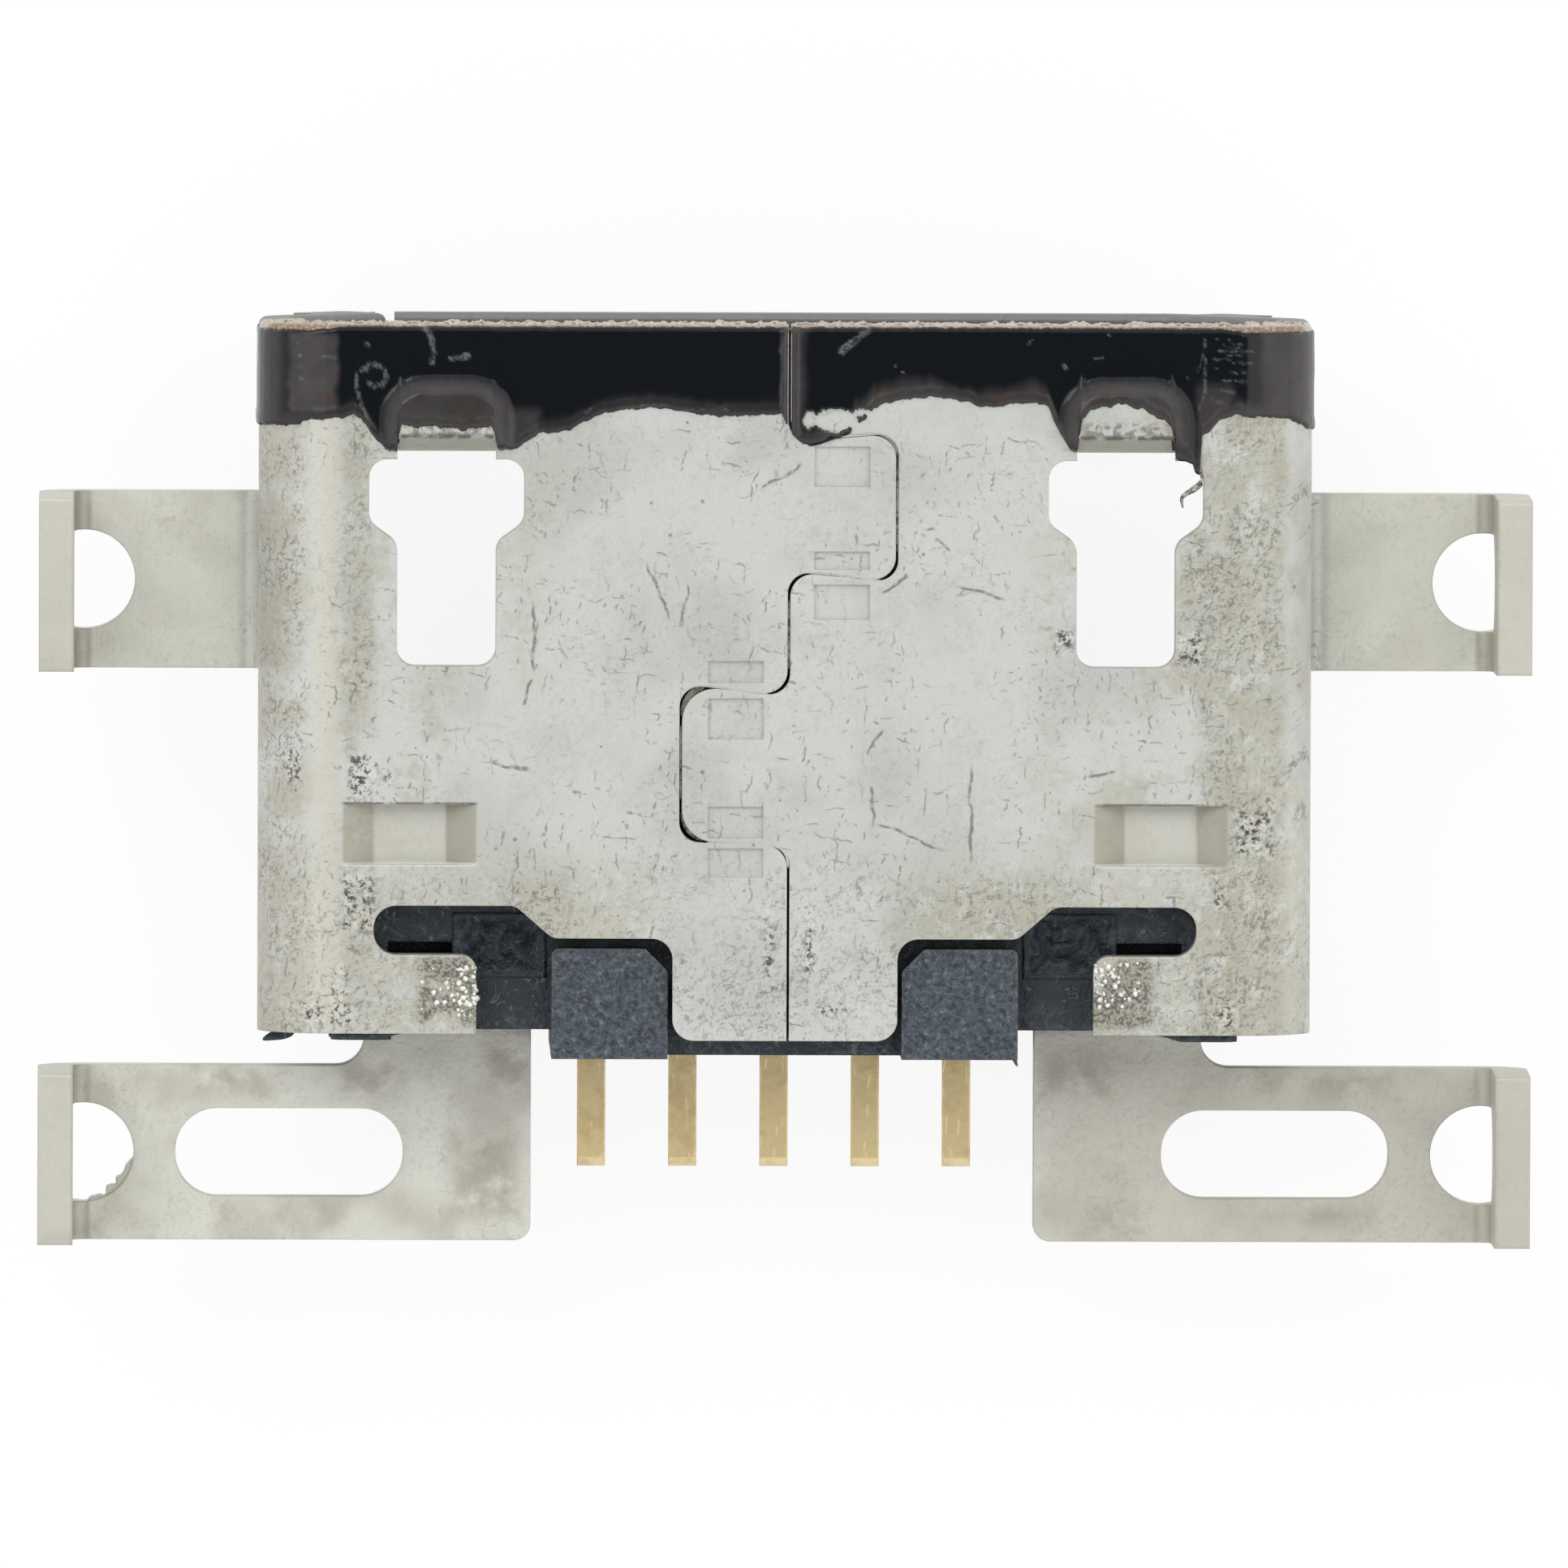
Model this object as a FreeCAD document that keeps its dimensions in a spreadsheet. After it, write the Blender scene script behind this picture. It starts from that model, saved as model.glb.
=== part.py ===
import FreeCAD, Part
import math
import os
import re
import Sketcher

# A five-contact charging port: one folded metal shell with four board wings, one black moulding, five contacts.
# It lies on its narrow far wall (z = 0) with the seam wall up. The mouth faces +Y, and X runs across the port.
# "Behind" is the distance from the mouth's rim towards the contact tails. All lengths are in millimetres.

SIZES = {
    # shell: one strip folded into a tube that is wide at the seam wall and narrow at the far wall
    "sheet": 0.25,
    "shell_width": 7.48,
    "shell_height": 2.40,
    "far_width": 5.68,
    "bevel_rise": 0.90,
    "near_round": 0.55,
    "far_round": 0.35,
    "rim_round": 0.05,
    "shell_end": 5.04,
    "tab_end": 5.085,
    # flared ears beside the far wall's rim, and the relief notch next to the left one
    "ear_reach": 0.20,
    "ear_from": 0.17,
    "ear_to": 0.60,
    "ear_depth": 0.18,
    "ear_round": 0.07,
    "notch_width": 0.14,
    "notch_depth": 0.12,
    # seam: a narrow gap with two interlocking lobes, whose cross edges were pressed shut and a little askew
    "seam_gap": 0.018,
    "cross_gap": 0.006,
    "seam_middle": 0.02,
    "lobe_reach": 0.765,
    "lobe_a_front": 0.767,
    "lobe_a_back": 1.825,
    "lobe_b_front": 2.555,
    "lobe_b_back": 3.667,
    "skew_a_front": 0.065,
    "skew_a_back": -0.075,
    "skew_b_front": 0.08,
    "skew_b_back": 0.03,
    "lobe_round": 0.16,
    "loose_round": 0.235,
    "socket_round": 0.145,
    # coined squares beside the lobes' cross edges, each from and to a distance behind the rim
    "coin_width": 0.39,
    "coin_depth": 0.02,
    "coin_inset": 0.18,
    "coin_1_from": 0.865,
    "coin_1_to": 1.146,
    "coin_2_from": 1.61,
    "coin_2_to": 1.735,
    "coin_3_from": 1.845,
    "coin_3_to": 2.09,
    "coin_4_from": 2.39,
    "coin_4_to": 2.54,
    "coin_5_from": 2.655,
    "coin_5_to": 2.94,
    "coin_6_from": 3.424,
    "coin_6_to": 3.645,
    "coin_7_from": 3.72,
    "coin_7_to": 3.923,
    # latch windows in the seam wall
    "window_at": 2.41,
    "window_neck": 0.70,
    "window_wide": 1.10,
    "window_front": 0.90,
    "window_step": 0.96,
    "window_taper": 1.41,
    "window_narrow": 1.55,
    "window_back": 2.43,
    "window_round": 0.13,
    # raised hoods in front of the windows
    "hood_width": 0.92,
    "hood_front": 0.378,
    "hood_back": 0.893,
    "hood_rise": 0.12,
    "hood_round": 0.30,
    "hood_slope": 42,
    # lanced bridges pressed into the seam wall
    "bridge_at": 2.665,
    "bridge_long": 0.925,
    "bridge_flat": 0.51,
    "bridge_front": 3.41,
    "bridge_back": 3.84,
    "bridge_drop": 0.12,
    # rear edge of the seam wall: tab, shoulders, slots and corner flaps
    "tab_width": 1.595,
    "tab_round": 0.15,
    "shoulder": 4.36,
    "shoulder_out": 1.65,
    "slot_in": 1.915,
    "slot_front": 4.13,
    "slot_back": 4.48,
    "slot_out": 2.92,
    "slot_end_round": 0.16,
    "flap_in": 2.19,
    "flap_round": 0.11,
    # board wings, two at the sides and two at the rear, each with a leg bent up at its end
    "board_plane": 1.30,
    "wing_span": 10.60,
    "leg_top": 2.25,
    "leg_bend": 0.10,
    "leg_round": 0.03,
    "leg_taper": 0.012,
    "side_front": 1.235,
    "side_back": 2.495,
    "side_relief": 0.06,
    "opening_in": 1.65,
    "opening_front": 0.78,
    "opening_back": 2.66,
    "rear_front": 5.325,
    "rear_back": 6.57,
    "rear_in": 1.79,
    "neck_out": 2.98,
    "neck_round": 0.20,
    "corner_round": 0.12,
    "ramp_in": 1.80,
    "ramp_out": 2.68,
    "ramp_front": 4.00,
    "ramp_back": 4.88,
    "lance_gap": 0.05,
    # holes in the wings: one across each bend, and a long one in each rear wing
    "bend_hole_radius": 0.353,
    "bend_hole_in": 0.33,
    "long_hole_at": 3.51,
    "long_hole_length": 1.62,
    "long_hole_width": 0.63,
    "long_hole_round": 0.30,
    # black moulding
    "fit_gap": 0.02,
    "base_front": 3.865,
    "base_back": 5.02,
    "tongue_width": 3.50,
    "tongue_thick": 0.62,
    "tongue_tip": 0.95,
    "tongue_bevel": 0.10,
    "block_in": 0.83,
    "block_out": 1.655,
    "block_front": 4.435,
    "block_back": 5.22,
    "block_top": 2.34,
    "block_bevel": 0.16,
    "block_round": 0.05,
    "block_foot": 1.55,
    "ledge_back": 5.20,
    "pad_in": 2.79,
    "pad_out": 3.22,
    "pad_back": 5.10,
    # sinks in the moulding's top, beside each block, with a slit along the flap
    "sink_depth": 0.30,
    "sink_in": 1.74,
    "sink_out": 2.34,
    "sink_front": 4.22,
    "sink_back": 4.62,
    "slit_front": 4.40,
    "slit_out": 2.82,
    # contacts
    "contact_count": 5,
    "contact_pitch": 0.65,
    "contact_shift": -0.06,
    "contact_thick": 0.15,
    "pad_width": 0.30,
    "tail_width": 0.20,
    "contact_tip": 1.06,
    "pad_end": 3.30,
    "tail_end": 6.04,
    "tip_bevel": 0.06,
    "contact_proud": 0.03,
    "contact_gap": 0.01,
    # how far a cut runs past what it cuts, and how far joined solids run into each other
    "over": 0.10,
    "lap": 0.05,
}
CLOSE = 1e-4

doc = FreeCAD.newDocument("charging_port")
sheet = doc.addObject("Spreadsheet::Sheet", "Sizes")
for row, (name, size) in enumerate(SIZES.items(), start=1):
    sheet.set(f"A{row}", name)
    sheet.set(f"B{row}", str(size))
    sheet.setAlias(f"B{row}", name)
doc.recompute()

# Places that several pieces share, as formulas of the sizes
HALF = "shell_width / 2"
INNER_HALF = "(shell_width / 2 - sheet)"
FAR_HALF = "far_width / 2"
BEVEL_ANGLE = "atan(bevel_rise / (shell_width / 2 - far_width / 2))"
FAR_INNER_HALF = f"(far_width / 2 - sheet * tan({BEVEL_ANGLE} / 2))"
BEVEL_INNER_RISE = f"(bevel_rise + sheet * tan(45 deg - {BEVEL_ANGLE} / 2))"
NEAR_INNER = "(shell_height - sheet)"
WING_UNDER = "(board_plane - sheet)"
LEG_OUTER = "wing_span / 2"
LEG_INNER = "(wing_span / 2 - sheet)"
HOLE_AT = "(wing_span / 2 - bend_hole_in)"
REAR_MIDDLE = "(rear_front + rear_back) / 2"
SIDE_MIDDLE = "(side_front + side_back) / 2"
CONTACT_UNDER = "(board_plane - contact_thick)"
TONGUE_UNDER = f"({CONTACT_UNDER} + contact_proud)"
SIDES = {"left": "-1", "right": "1"}


def linked(formula):
    """The same formula with each size looked up in the sheet."""
    def look_up(word):
        return f"Sizes.{word.group()}" if word.group() in SIZES else word.group()
    return re.sub(r"[a-z]\w*", look_up, str(formula))


def number(formula):
    """What a formula of the sizes comes to."""
    return float(sheet.evalExpression(linked(formula)))


def behind(distance):
    """Y of a place that lies this far behind the mouth's rim."""
    return f"(rear_back / 2 - ({distance}))"


def both_sides(outline):
    """The outline on the right, and its mirror image on the left."""
    return [[(f"{sign} * ({corner[0]})",) + tuple(corner[1:]) for corner in outline] for sign in SIDES.values()]


def from_above(outline):
    """An outline given as (x, distance behind the mouth, rounding) turned to (x, y, rounding)."""
    return [(corner[0], behind(corner[1])) + tuple(corner[2:]) for corner in outline]


def rectangle(x_low, x_high, y_low, y_high, *rounding):
    return [(x_low, y_low, *rounding), (x_high, y_low, *rounding),
            (x_high, y_high, *rounding), (x_low, y_high, *rounding)]


def new_body(name):
    body = doc.addObject("PartDesign::Body", name)
    body.Label = name
    return body


def new_sketch(body, name, plane, start):
    """A sketch on one of the body's origin planes, moved along the plane's normal."""
    sketch = body.newObject("Sketcher::SketchObject", name)
    origin_plane = [item for item in body.Origin.OriginFeatures if item.Role == f"{plane}_Plane"][0]
    sketch.AttachmentSupport = [(origin_plane, "")]
    sketch.MapMode = "FlatFace"
    sketch.setExpression(".AttachmentOffset.Base.z", linked(start))
    return sketch


def fix_point(sketch, geometry, vertex, x, y):
    """Hold a point at two formulas, measured from the sketch's origin."""
    for kind, axis, formula in (("DistanceX", -2, x), ("DistanceY", -1, y)):
        size = number(formula)
        if abs(size) < CLOSE:
            sketch.addConstraint(Sketcher.Constraint("PointOnObject", geometry, vertex, axis))
        else:
            index = sketch.addConstraint(Sketcher.Constraint(kind, -1, 1, geometry, vertex, size))
            sketch.setExpression(f"Constraints[{index}]", linked(formula))


def draw_outline(sketch, corners):
    """A closed outline of (x, y) or (x, y, rounding) corners, with tangent arcs at the rounded ones."""
    count = len(corners)
    points = [FreeCAD.Vector(number(corner[0]), number(corner[1]), 0) for corner in corners]
    radii = [number(corner[2]) if len(corner) > 2 and corner[2] else 0 for corner in corners]
    arrive, leave, centres = [], [], []
    for index, point in enumerate(points):
        to_last = (points[index - 1] - point).normalize()
        to_next = (points[(index + 1) % count] - point).normalize()
        half_angle = to_last.getAngle(to_next) / 2
        setback = radii[index] / math.tan(half_angle)
        arrive.append(point + to_last * setback)
        leave.append(point + to_next * setback)
        bisector = (to_last + to_next).normalize()
        centres.append(point + bisector * (radii[index] / math.sin(half_angle)))
    sides = []
    for index in range(count):
        start, end = leave[index], arrive[(index + 1) % count]
        sides.append(sketch.addGeometry(Part.LineSegment(start, end), False))
    for index, corner in enumerate(corners):
        into, out = sides[index - 1], sides[index]
        if not radii[index]:
            sketch.addConstraint(Sketcher.Constraint("Coincident", into, 2, out, 1))
            fix_point(sketch, out, 1, corner[0], corner[1])
            continue
        spokes = [arrive[index] - centres[index], leave[index] - centres[index]]
        left_turn = spokes[0].cross(spokes[1]).z > 0
        ends = spokes if left_turn else spokes[::-1]
        angles = [math.atan2(spoke.y, spoke.x) for spoke in ends]
        circle = Part.Circle(centres[index], FreeCAD.Vector(0, 0, 1), radii[index])
        arc = sketch.addGeometry(Part.ArcOfCircle(circle, angles[0], angles[1]), False)
        sketch.addConstraint(Sketcher.Constraint("Tangent", into, 2, arc, 1 if left_turn else 2))
        sketch.addConstraint(Sketcher.Constraint("Tangent", arc, 2 if left_turn else 1, out, 1))
        bend = sketch.addConstraint(Sketcher.Constraint("Radius", arc, radii[index]))
        sketch.setExpression(f"Constraints[{bend}]", linked(corner[2]))
        mark = sketch.addGeometry(Part.Point(points[index]), True)
        fix_point(sketch, mark, 1, corner[0], corner[1])
        sketch.addConstraint(Sketcher.Constraint("PointOnObject", mark, 1, into))
        sketch.addConstraint(Sketcher.Constraint("PointOnObject", mark, 1, out))


def draw_circle(sketch, x, y, radius):
    centre = FreeCAD.Vector(number(x), number(y), 0)
    circle = sketch.addGeometry(Part.Circle(centre, FreeCAD.Vector(0, 0, 1), number(radius)), False)
    bend = sketch.addConstraint(Sketcher.Constraint("Radius", circle, number(radius)))
    sketch.setExpression(f"Constraints[{bend}]", linked(radius))
    fix_point(sketch, circle, 3, x, y)


def extrude(body, kind, name, plane, start, length, outlines=(), circles=(), slope=None):
    """A pad or pocket from its sketch along the plane's normal: +Z, +X, or rearwards from an XZ sketch."""
    volume_before = body.Shape.Volume if body.Tip else 0
    sketch = new_sketch(body, f"{name}_sketch", plane, start)
    for outline in outlines:
        draw_outline(sketch, outline)
    for circle in circles:
        draw_circle(sketch, *circle)
    feature = body.newObject(f"PartDesign::{kind}", name)
    feature.Profile = sketch
    feature.setExpression("Length", linked(length))
    feature.Reversed = kind == "Pocket"
    if slope:
        feature.setExpression("TaperAngle", linked(slope))
    sketch.Visibility = False
    doc.recompute()
    grown = body.Shape.Volume - volume_before
    if "Invalid" in feature.State or grown * (1 if kind == "Pad" else -1) <= 0:
        raise RuntimeError(f"{name} changed the volume by {grown:.5f}: {feature.State}")
    return feature


def round_edges(body, kind, name, size, chosen):
    """Fillet or Chamfer on the edges of the body's tip that the test chooses."""
    base = body.Tip
    names = [f"Edge{index}" for index, edge in enumerate(base.Shape.Edges, start=1) if chosen(edge)]
    if not names:
        raise RuntimeError(f"{name} found no edge")
    feature = body.newObject(f"PartDesign::{kind}", name)
    feature.Base = (base, names)
    feature.setExpression("Radius" if kind == "Fillet" else "Size", linked(size))
    doc.recompute()
    return feature


def spans(edge, low, high):
    """Whether the edge lies between two corners, given as formulas (None leaves that side open)."""
    box = edge.BoundBox
    found = ((box.XMin, box.XMax), (box.YMin, box.YMax), (box.ZMin, box.ZMax))
    for (least, most), least_allowed, most_allowed in zip(found, low, high):
        if least_allowed is not None and least < number(least_allowed) - CLOSE:
            return False
        if most_allowed is not None and most > number(most_allowed) + CLOSE:
            return False
    return True


def tube_outline(inset, near_bend, far_bend):
    """The tube's section, wide at the seam wall, with bevelled corners down to the narrow far wall."""
    if inset:
        half, far, rise, low, high = INNER_HALF, FAR_INNER_HALF, BEVEL_INNER_RISE, "sheet", NEAR_INNER
    else:
        half, far, rise, low, high = HALF, FAR_HALF, "bevel_rise", "0", "shell_height"
    right = [(far, low, far_bend), (half, rise, far_bend), (half, high, near_bend)]
    left = [(f"-1 * ({x})", z, bend) for x, z, bend in reversed(right)]
    return right + left


def shell_tube(shell):
    outer = tube_outline(False, "near_round", "far_round")
    inner = tube_outline(True, "near_round - sheet", "far_round - sheet")
    extrude(shell, "Pad", "tube", "XZ", f"-1 * {behind(0)}", "tab_end", [outer, inner])
    rim = behind(0)
    round_edges(shell, "Fillet", "rim", "rim_round",
                lambda edge: spans(edge, (None, rim, None), (None, rim, None)))


def shell_ears(shell):
    """A small flare of each bevelled wall at the rim, and the notch that frees the left one."""
    def on_bevel(along, out):
        """A point on the bevelled wall's outer face, a share of the way up it, moved outwards."""
        x = f"({FAR_HALF} + ({HALF} - {FAR_HALF}) * {along} + ({out}) * sin({BEVEL_ANGLE}))"
        return x, f"(bevel_rise * {along} - ({out}) * cos({BEVEL_ANGLE}))"
    inside = "-1 * sheet / 2"
    outline = [on_bevel("ear_from", inside), (*on_bevel("ear_from", "ear_reach"), "ear_round"),
               (*on_bevel("ear_to", "ear_reach"), "ear_round"), on_bevel("ear_to", inside)]
    extrude(shell, "Pad", "ears", "XZ", f"-1 * {behind(0)}", "ear_depth", both_sides(outline))
    middle = f"(-1 * {FAR_HALF})"
    notch = rectangle(f"{middle} - notch_width / 2", f"{middle} + notch_width / 2", "-1 * over", "notch_depth")
    extrude(shell, "Pocket", "notch", "XY", "-1 * over", "sheet + 2 * over", [from_above(notch)])


def seam_outline():
    """Both banks of the seam gap: the inside of each turn is a lobe's corner, the outside its wider socket."""
    right, left = "(seam_middle + lobe_reach)", "(seam_middle - lobe_reach)"
    path = [("seam_middle", "-1 * over", None),
            ("seam_middle", "lobe_a_front + skew_a_front", "lobe_round"), (right, "lobe_a_front", "lobe_round"),
            (right, "lobe_a_back", "lobe_round"), ("seam_middle", "lobe_a_back + skew_a_back", "lobe_round"),
            ("seam_middle", "lobe_b_front + skew_b_front", "lobe_round"), (left, "lobe_b_front", "loose_round"),
            (left, "lobe_b_back", "loose_round"), ("seam_middle", "lobe_b_back + skew_b_back", "lobe_round"),
            ("seam_middle", "tab_end + over", None)]
    places = [(number(x), number(distance)) for x, distance, bend in path]
    steps = [(end[0] - start[0], end[1] - start[1]) for start, end in zip(places, places[1:])]
    headings = [(step[0] / math.hypot(*step), step[1] / math.hypot(*step)) for step in steps]
    banks = {1: [], -1: []}
    for index, (x, distance, lobe_bend) in enumerate(path):
        into, out = headings[max(index - 1, 0)], headings[min(index, len(headings) - 1)]
        turn = into[0] * out[1] - into[1] * out[0]
        across = (into[1] + out[1], -into[0] - out[0]) if turn else (into[1], -into[0])
        for side, bank in banks.items():
            shifted = (f"{x} + {side * across[0]:.0f} * seam_gap / 2",
                       f"{distance} + {side * across[1]:.0f} * cross_gap / 2")
            bend = (lobe_bend if turn * side < 0 else "socket_round") if turn else None
            bank.append(shifted + (bend,))
    return banks[1] + banks[-1][::-1]


def shell_seam(shell):
    outline = from_above(seam_outline())
    extrude(shell, "Pocket", "seam", "XY", f"{NEAR_INNER} - sheet / 2", "sheet * 2", [outline])


def shell_coins(shell):
    """Shallow squares that were struck beside the cross edges of both lobes."""
    outlines = []
    for sign, coins in (("1", (1, 2, 3)), ("-1", (4, 5, 6, 7))):
        inner = f"(seam_middle + {sign} * coin_inset)"
        outer = f"(seam_middle + {sign} * (coin_inset + coin_width))"
        for coin in coins:
            outlines.append(from_above(rectangle(inner, outer, f"coin_{coin}_from", f"coin_{coin}_to")))
    extrude(shell, "Pocket", "coins", "XY", "shell_height - coin_depth", "coin_depth * 2", outlines)


def shell_hoods(shell):
    """A low hood in front of each latch window, raised out of the wall and hollow beneath."""
    def hood(inset):
        half = f"(hood_width / 2 - {inset})"
        front, back = f"hood_front + {inset}", f"hood_back - {inset}"
        bend = f"hood_round - {inset} / 2"
        return [(f"window_at - {half}", back), (f"window_at + {half}", back),
                (f"window_at + {half}", front, bend), (f"window_at - {half}", front, bend)]
    raised = both_sides(from_above(hood("0")))
    hollow = both_sides(from_above(hood("sheet / 4")))
    extrude(shell, "Pad", "hoods", "XY", "shell_height", "hood_rise", raised, slope="-1 * hood_slope")
    extrude(shell, "Pocket", "hood_hollows", "XY", NEAR_INNER, "hood_rise", hollow, slope="-1 * hood_slope")


def shell_windows(shell):
    """Latch windows: a neck under the hood, a wide part for the plug's hook, and a narrow tail."""
    def window(sign):
        def across(share):
            return f"{sign} * (window_at + ({share}))"
        neck, wide = "window_neck / 2", "window_wide / 2"
        edge = [(neck, "window_front", None), (neck, "window_step", None),
                (wide, "window_step", "window_round"), (wide, "window_taper", "window_round"),
                (neck, "window_narrow", "window_round"), (neck, "window_back", "window_round")]
        out = [(across(share), place, bend) for share, place, bend in edge]
        back = [(across(f"-1 * ({share})"), place, bend) for share, place, bend in reversed(edge)]
        return from_above(out + back)
    outlines = [window(sign) for sign in SIDES.values()]
    extrude(shell, "Pocket", "windows", "XY", f"{NEAR_INNER} - sheet / 2", "sheet * 2 + hood_rise", outlines)


def shell_bridges(shell):
    """Short strips of the seam wall, sheared along both long sides and pressed in as stops for the moulding."""
    def dip(high, low):
        long, flat = "bridge_long / 2", "bridge_flat / 2"
        return [(f"bridge_at - {long}", high), (f"bridge_at - {flat}", low),
                (f"bridge_at + {flat}", low), (f"bridge_at + {long}", high)]
    start, length = f"-1 * {behind('bridge_front')}", "bridge_back - bridge_front"
    outside = both_sides(dip("shell_height", "shell_height - bridge_drop"))
    inside = both_sides(dip(f"{NEAR_INNER}", f"{NEAR_INNER} - bridge_drop"))
    extrude(shell, "Pocket", "bridge_tops", "XZ", start, length, outside)
    extrude(shell, "Pad", "bridge_bottoms", "XZ", start, length, inside)


def shell_rear_edge(shell):
    """The seam wall's rear edge: a tab on the middle line, shoulders, slots with round ends, corner flaps."""
    beyond = "(tab_end + over)"
    half_tab = "tab_width / 2"
    right = [("flap_in", beyond), ("flap_in", "slot_back", "flap_round"),
             ("slot_out", "slot_back", "slot_end_round"), ("slot_out", "slot_front", "slot_end_round"),
             ("slot_in", "slot_front", "corner_round"), ("shoulder_out", "shoulder", "corner_round"),
             (half_tab, "shoulder", "tab_round"), (half_tab, "tab_end", "tab_round")]
    left = [(f"-1 * ({corner[0]})", *corner[1:]) for corner in reversed(right)]
    outline = from_above(right + left)
    extrude(shell, "Pocket", "rear_edge", "XY", f"{NEAR_INNER} - sheet / 2", "sheet * 2", [outline])
    trim = both_sides(from_above(rectangle(half_tab, f"{HALF} + over", "shell_end", beyond)))
    extrude(shell, "Pocket", "rear_trim", "XY", "-1 * over", "shell_height + 2 * over", trim)


def shell_openings(shell):
    """Where the side wings were lanced out of the far wall, the bevels and the lower side walls."""
    outer = f"{HALF} + over"
    blank = rectangle("opening_in", outer, "opening_front", "opening_back", "corner_round")
    extrude(shell, "Pocket", "far_openings", "XY", "-1 * over", f"{BEVEL_INNER_RISE} + over",
            both_sides(from_above(blank)))
    wall = both_sides(from_above(rectangle(f"{INNER_HALF} - over", outer, "side_front - side_relief",
                                           "side_back + side_relief")))
    length = f"board_plane + near_round - {BEVEL_INNER_RISE} + over"
    extrude(shell, "Pocket", "side_openings", "XY", f"{BEVEL_INNER_RISE} - 2 * over", length, wall)
    ramp = both_sides(from_above(rectangle("ramp_in - lance_gap", "ramp_out + lance_gap", "ramp_front",
                                           "tab_end + over")))
    extrude(shell, "Pocket", "ramp_openings", "XY", "-1 * over", "sheet + 2 * over", ramp)


def side_wing_section():
    """Down from the side wall, out level with the board, and up as the leg."""
    root = "(board_plane + near_round)"
    return [(INNER_HALF, root), (INNER_HALF, WING_UNDER, "leg_bend + sheet"),
            (LEG_OUTER, WING_UNDER, "leg_bend + sheet"), (LEG_OUTER, "leg_top"), (LEG_INNER, "leg_top"),
            (LEG_INNER, "board_plane", "leg_bend"), (HALF, "board_plane", "leg_bend"), (HALF, root)]


def rear_leg_section():
    inner_end = f"({LEG_INNER} - leg_bend - lap)"
    return [(inner_end, WING_UNDER), (LEG_OUTER, WING_UNDER, "leg_bend + sheet"), (LEG_OUTER, "leg_top"),
            (LEG_INNER, "leg_top"), (LEG_INNER, "board_plane", "leg_bend"), (inner_end, "board_plane")]


def shell_wings(shell):
    extrude(shell, "Pad", "side_wings", "XZ", f"-1 * {behind('side_front')}", "side_back - side_front",
            both_sides(side_wing_section()))
    plate_end = f"({LEG_INNER} - leg_bend)"
    plate = [("rear_in", "ramp_back"), ("rear_in", "rear_back", "corner_round"), (plate_end, "rear_back"),
             (plate_end, "rear_front"), ("neck_out", "rear_front", "neck_round"), ("neck_out", "ramp_back")]
    extrude(shell, "Pad", "rear_plates", "XY", WING_UNDER, "sheet", both_sides(from_above(plate)))
    extrude(shell, "Pad", "rear_legs", "XZ", f"-1 * {behind('rear_front')}", "rear_back - rear_front",
            both_sides(rear_leg_section()))


def shell_ramps(shell):
    """Strips of the far wall that climb inside the port to the level of the rear wings."""
    slant = f"atan({WING_UNDER} / (ramp_back - ramp_front))"
    shift = f"(sheet * tan({slant} / 2))"
    section = [(behind("ramp_front - sheet"), "0"), (behind("ramp_front"), "0"),
               (behind("ramp_back"), WING_UNDER), (behind("ramp_back + sheet"), WING_UNDER),
               (behind("ramp_back + sheet"), "board_plane"), (behind(f"ramp_back - {shift}"), "board_plane"),
               (behind(f"ramp_front - {shift}"), "sheet"), (behind("ramp_front - sheet"), "sheet")]
    width = "ramp_out - ramp_in"
    extrude(shell, "Pad", "right_ramp", "YZ", "ramp_in", width, [section])
    extrude(shell, "Pad", "left_ramp", "YZ", "-1 * ramp_out", width, [section])


def shell_holes(shell):
    """Punched holes: a long one in each rear wing, and a round one across each bend, open in wing and leg."""
    half_long, half_wide = "long_hole_length / 2", "long_hole_width / 2"
    slot = both_sides(from_above(rectangle(f"long_hole_at - {half_long}", f"long_hole_at + {half_long}",
                                           f"{REAR_MIDDLE} - {half_wide}", f"{REAR_MIDDLE} + {half_wide}",
                                           "long_hole_round")))
    extrude(shell, "Pocket", "long_holes", "XY", f"{WING_UNDER} - over", "sheet + 2 * over", slot)
    middles = (SIDE_MIDDLE, REAR_MIDDLE)
    rounds = [(f"{sign} * {HOLE_AT}", behind(middle), "bend_hole_radius")
              for sign in SIDES.values() for middle in middles]
    extrude(shell, "Pocket", "bend_holes", "XY", f"{WING_UNDER} - over", "sheet + leg_bend + over",
            circles=rounds)
    across = [(behind(middle), "board_plane", "bend_hole_radius") for middle in middles]
    for side in SIDES:
        extrude(shell, "Pocket", f"{side}_leg_holes", "YZ", *through_legs(side), circles=across)


def through_legs(side):
    """Where a cut across one side's legs starts, and how long it is."""
    start = f"{LEG_INNER} - leg_bend / 2" if side == "right" else f"-1 * ({LEG_OUTER} + over)"
    return start, "sheet + leg_bend / 2 + over"


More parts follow.
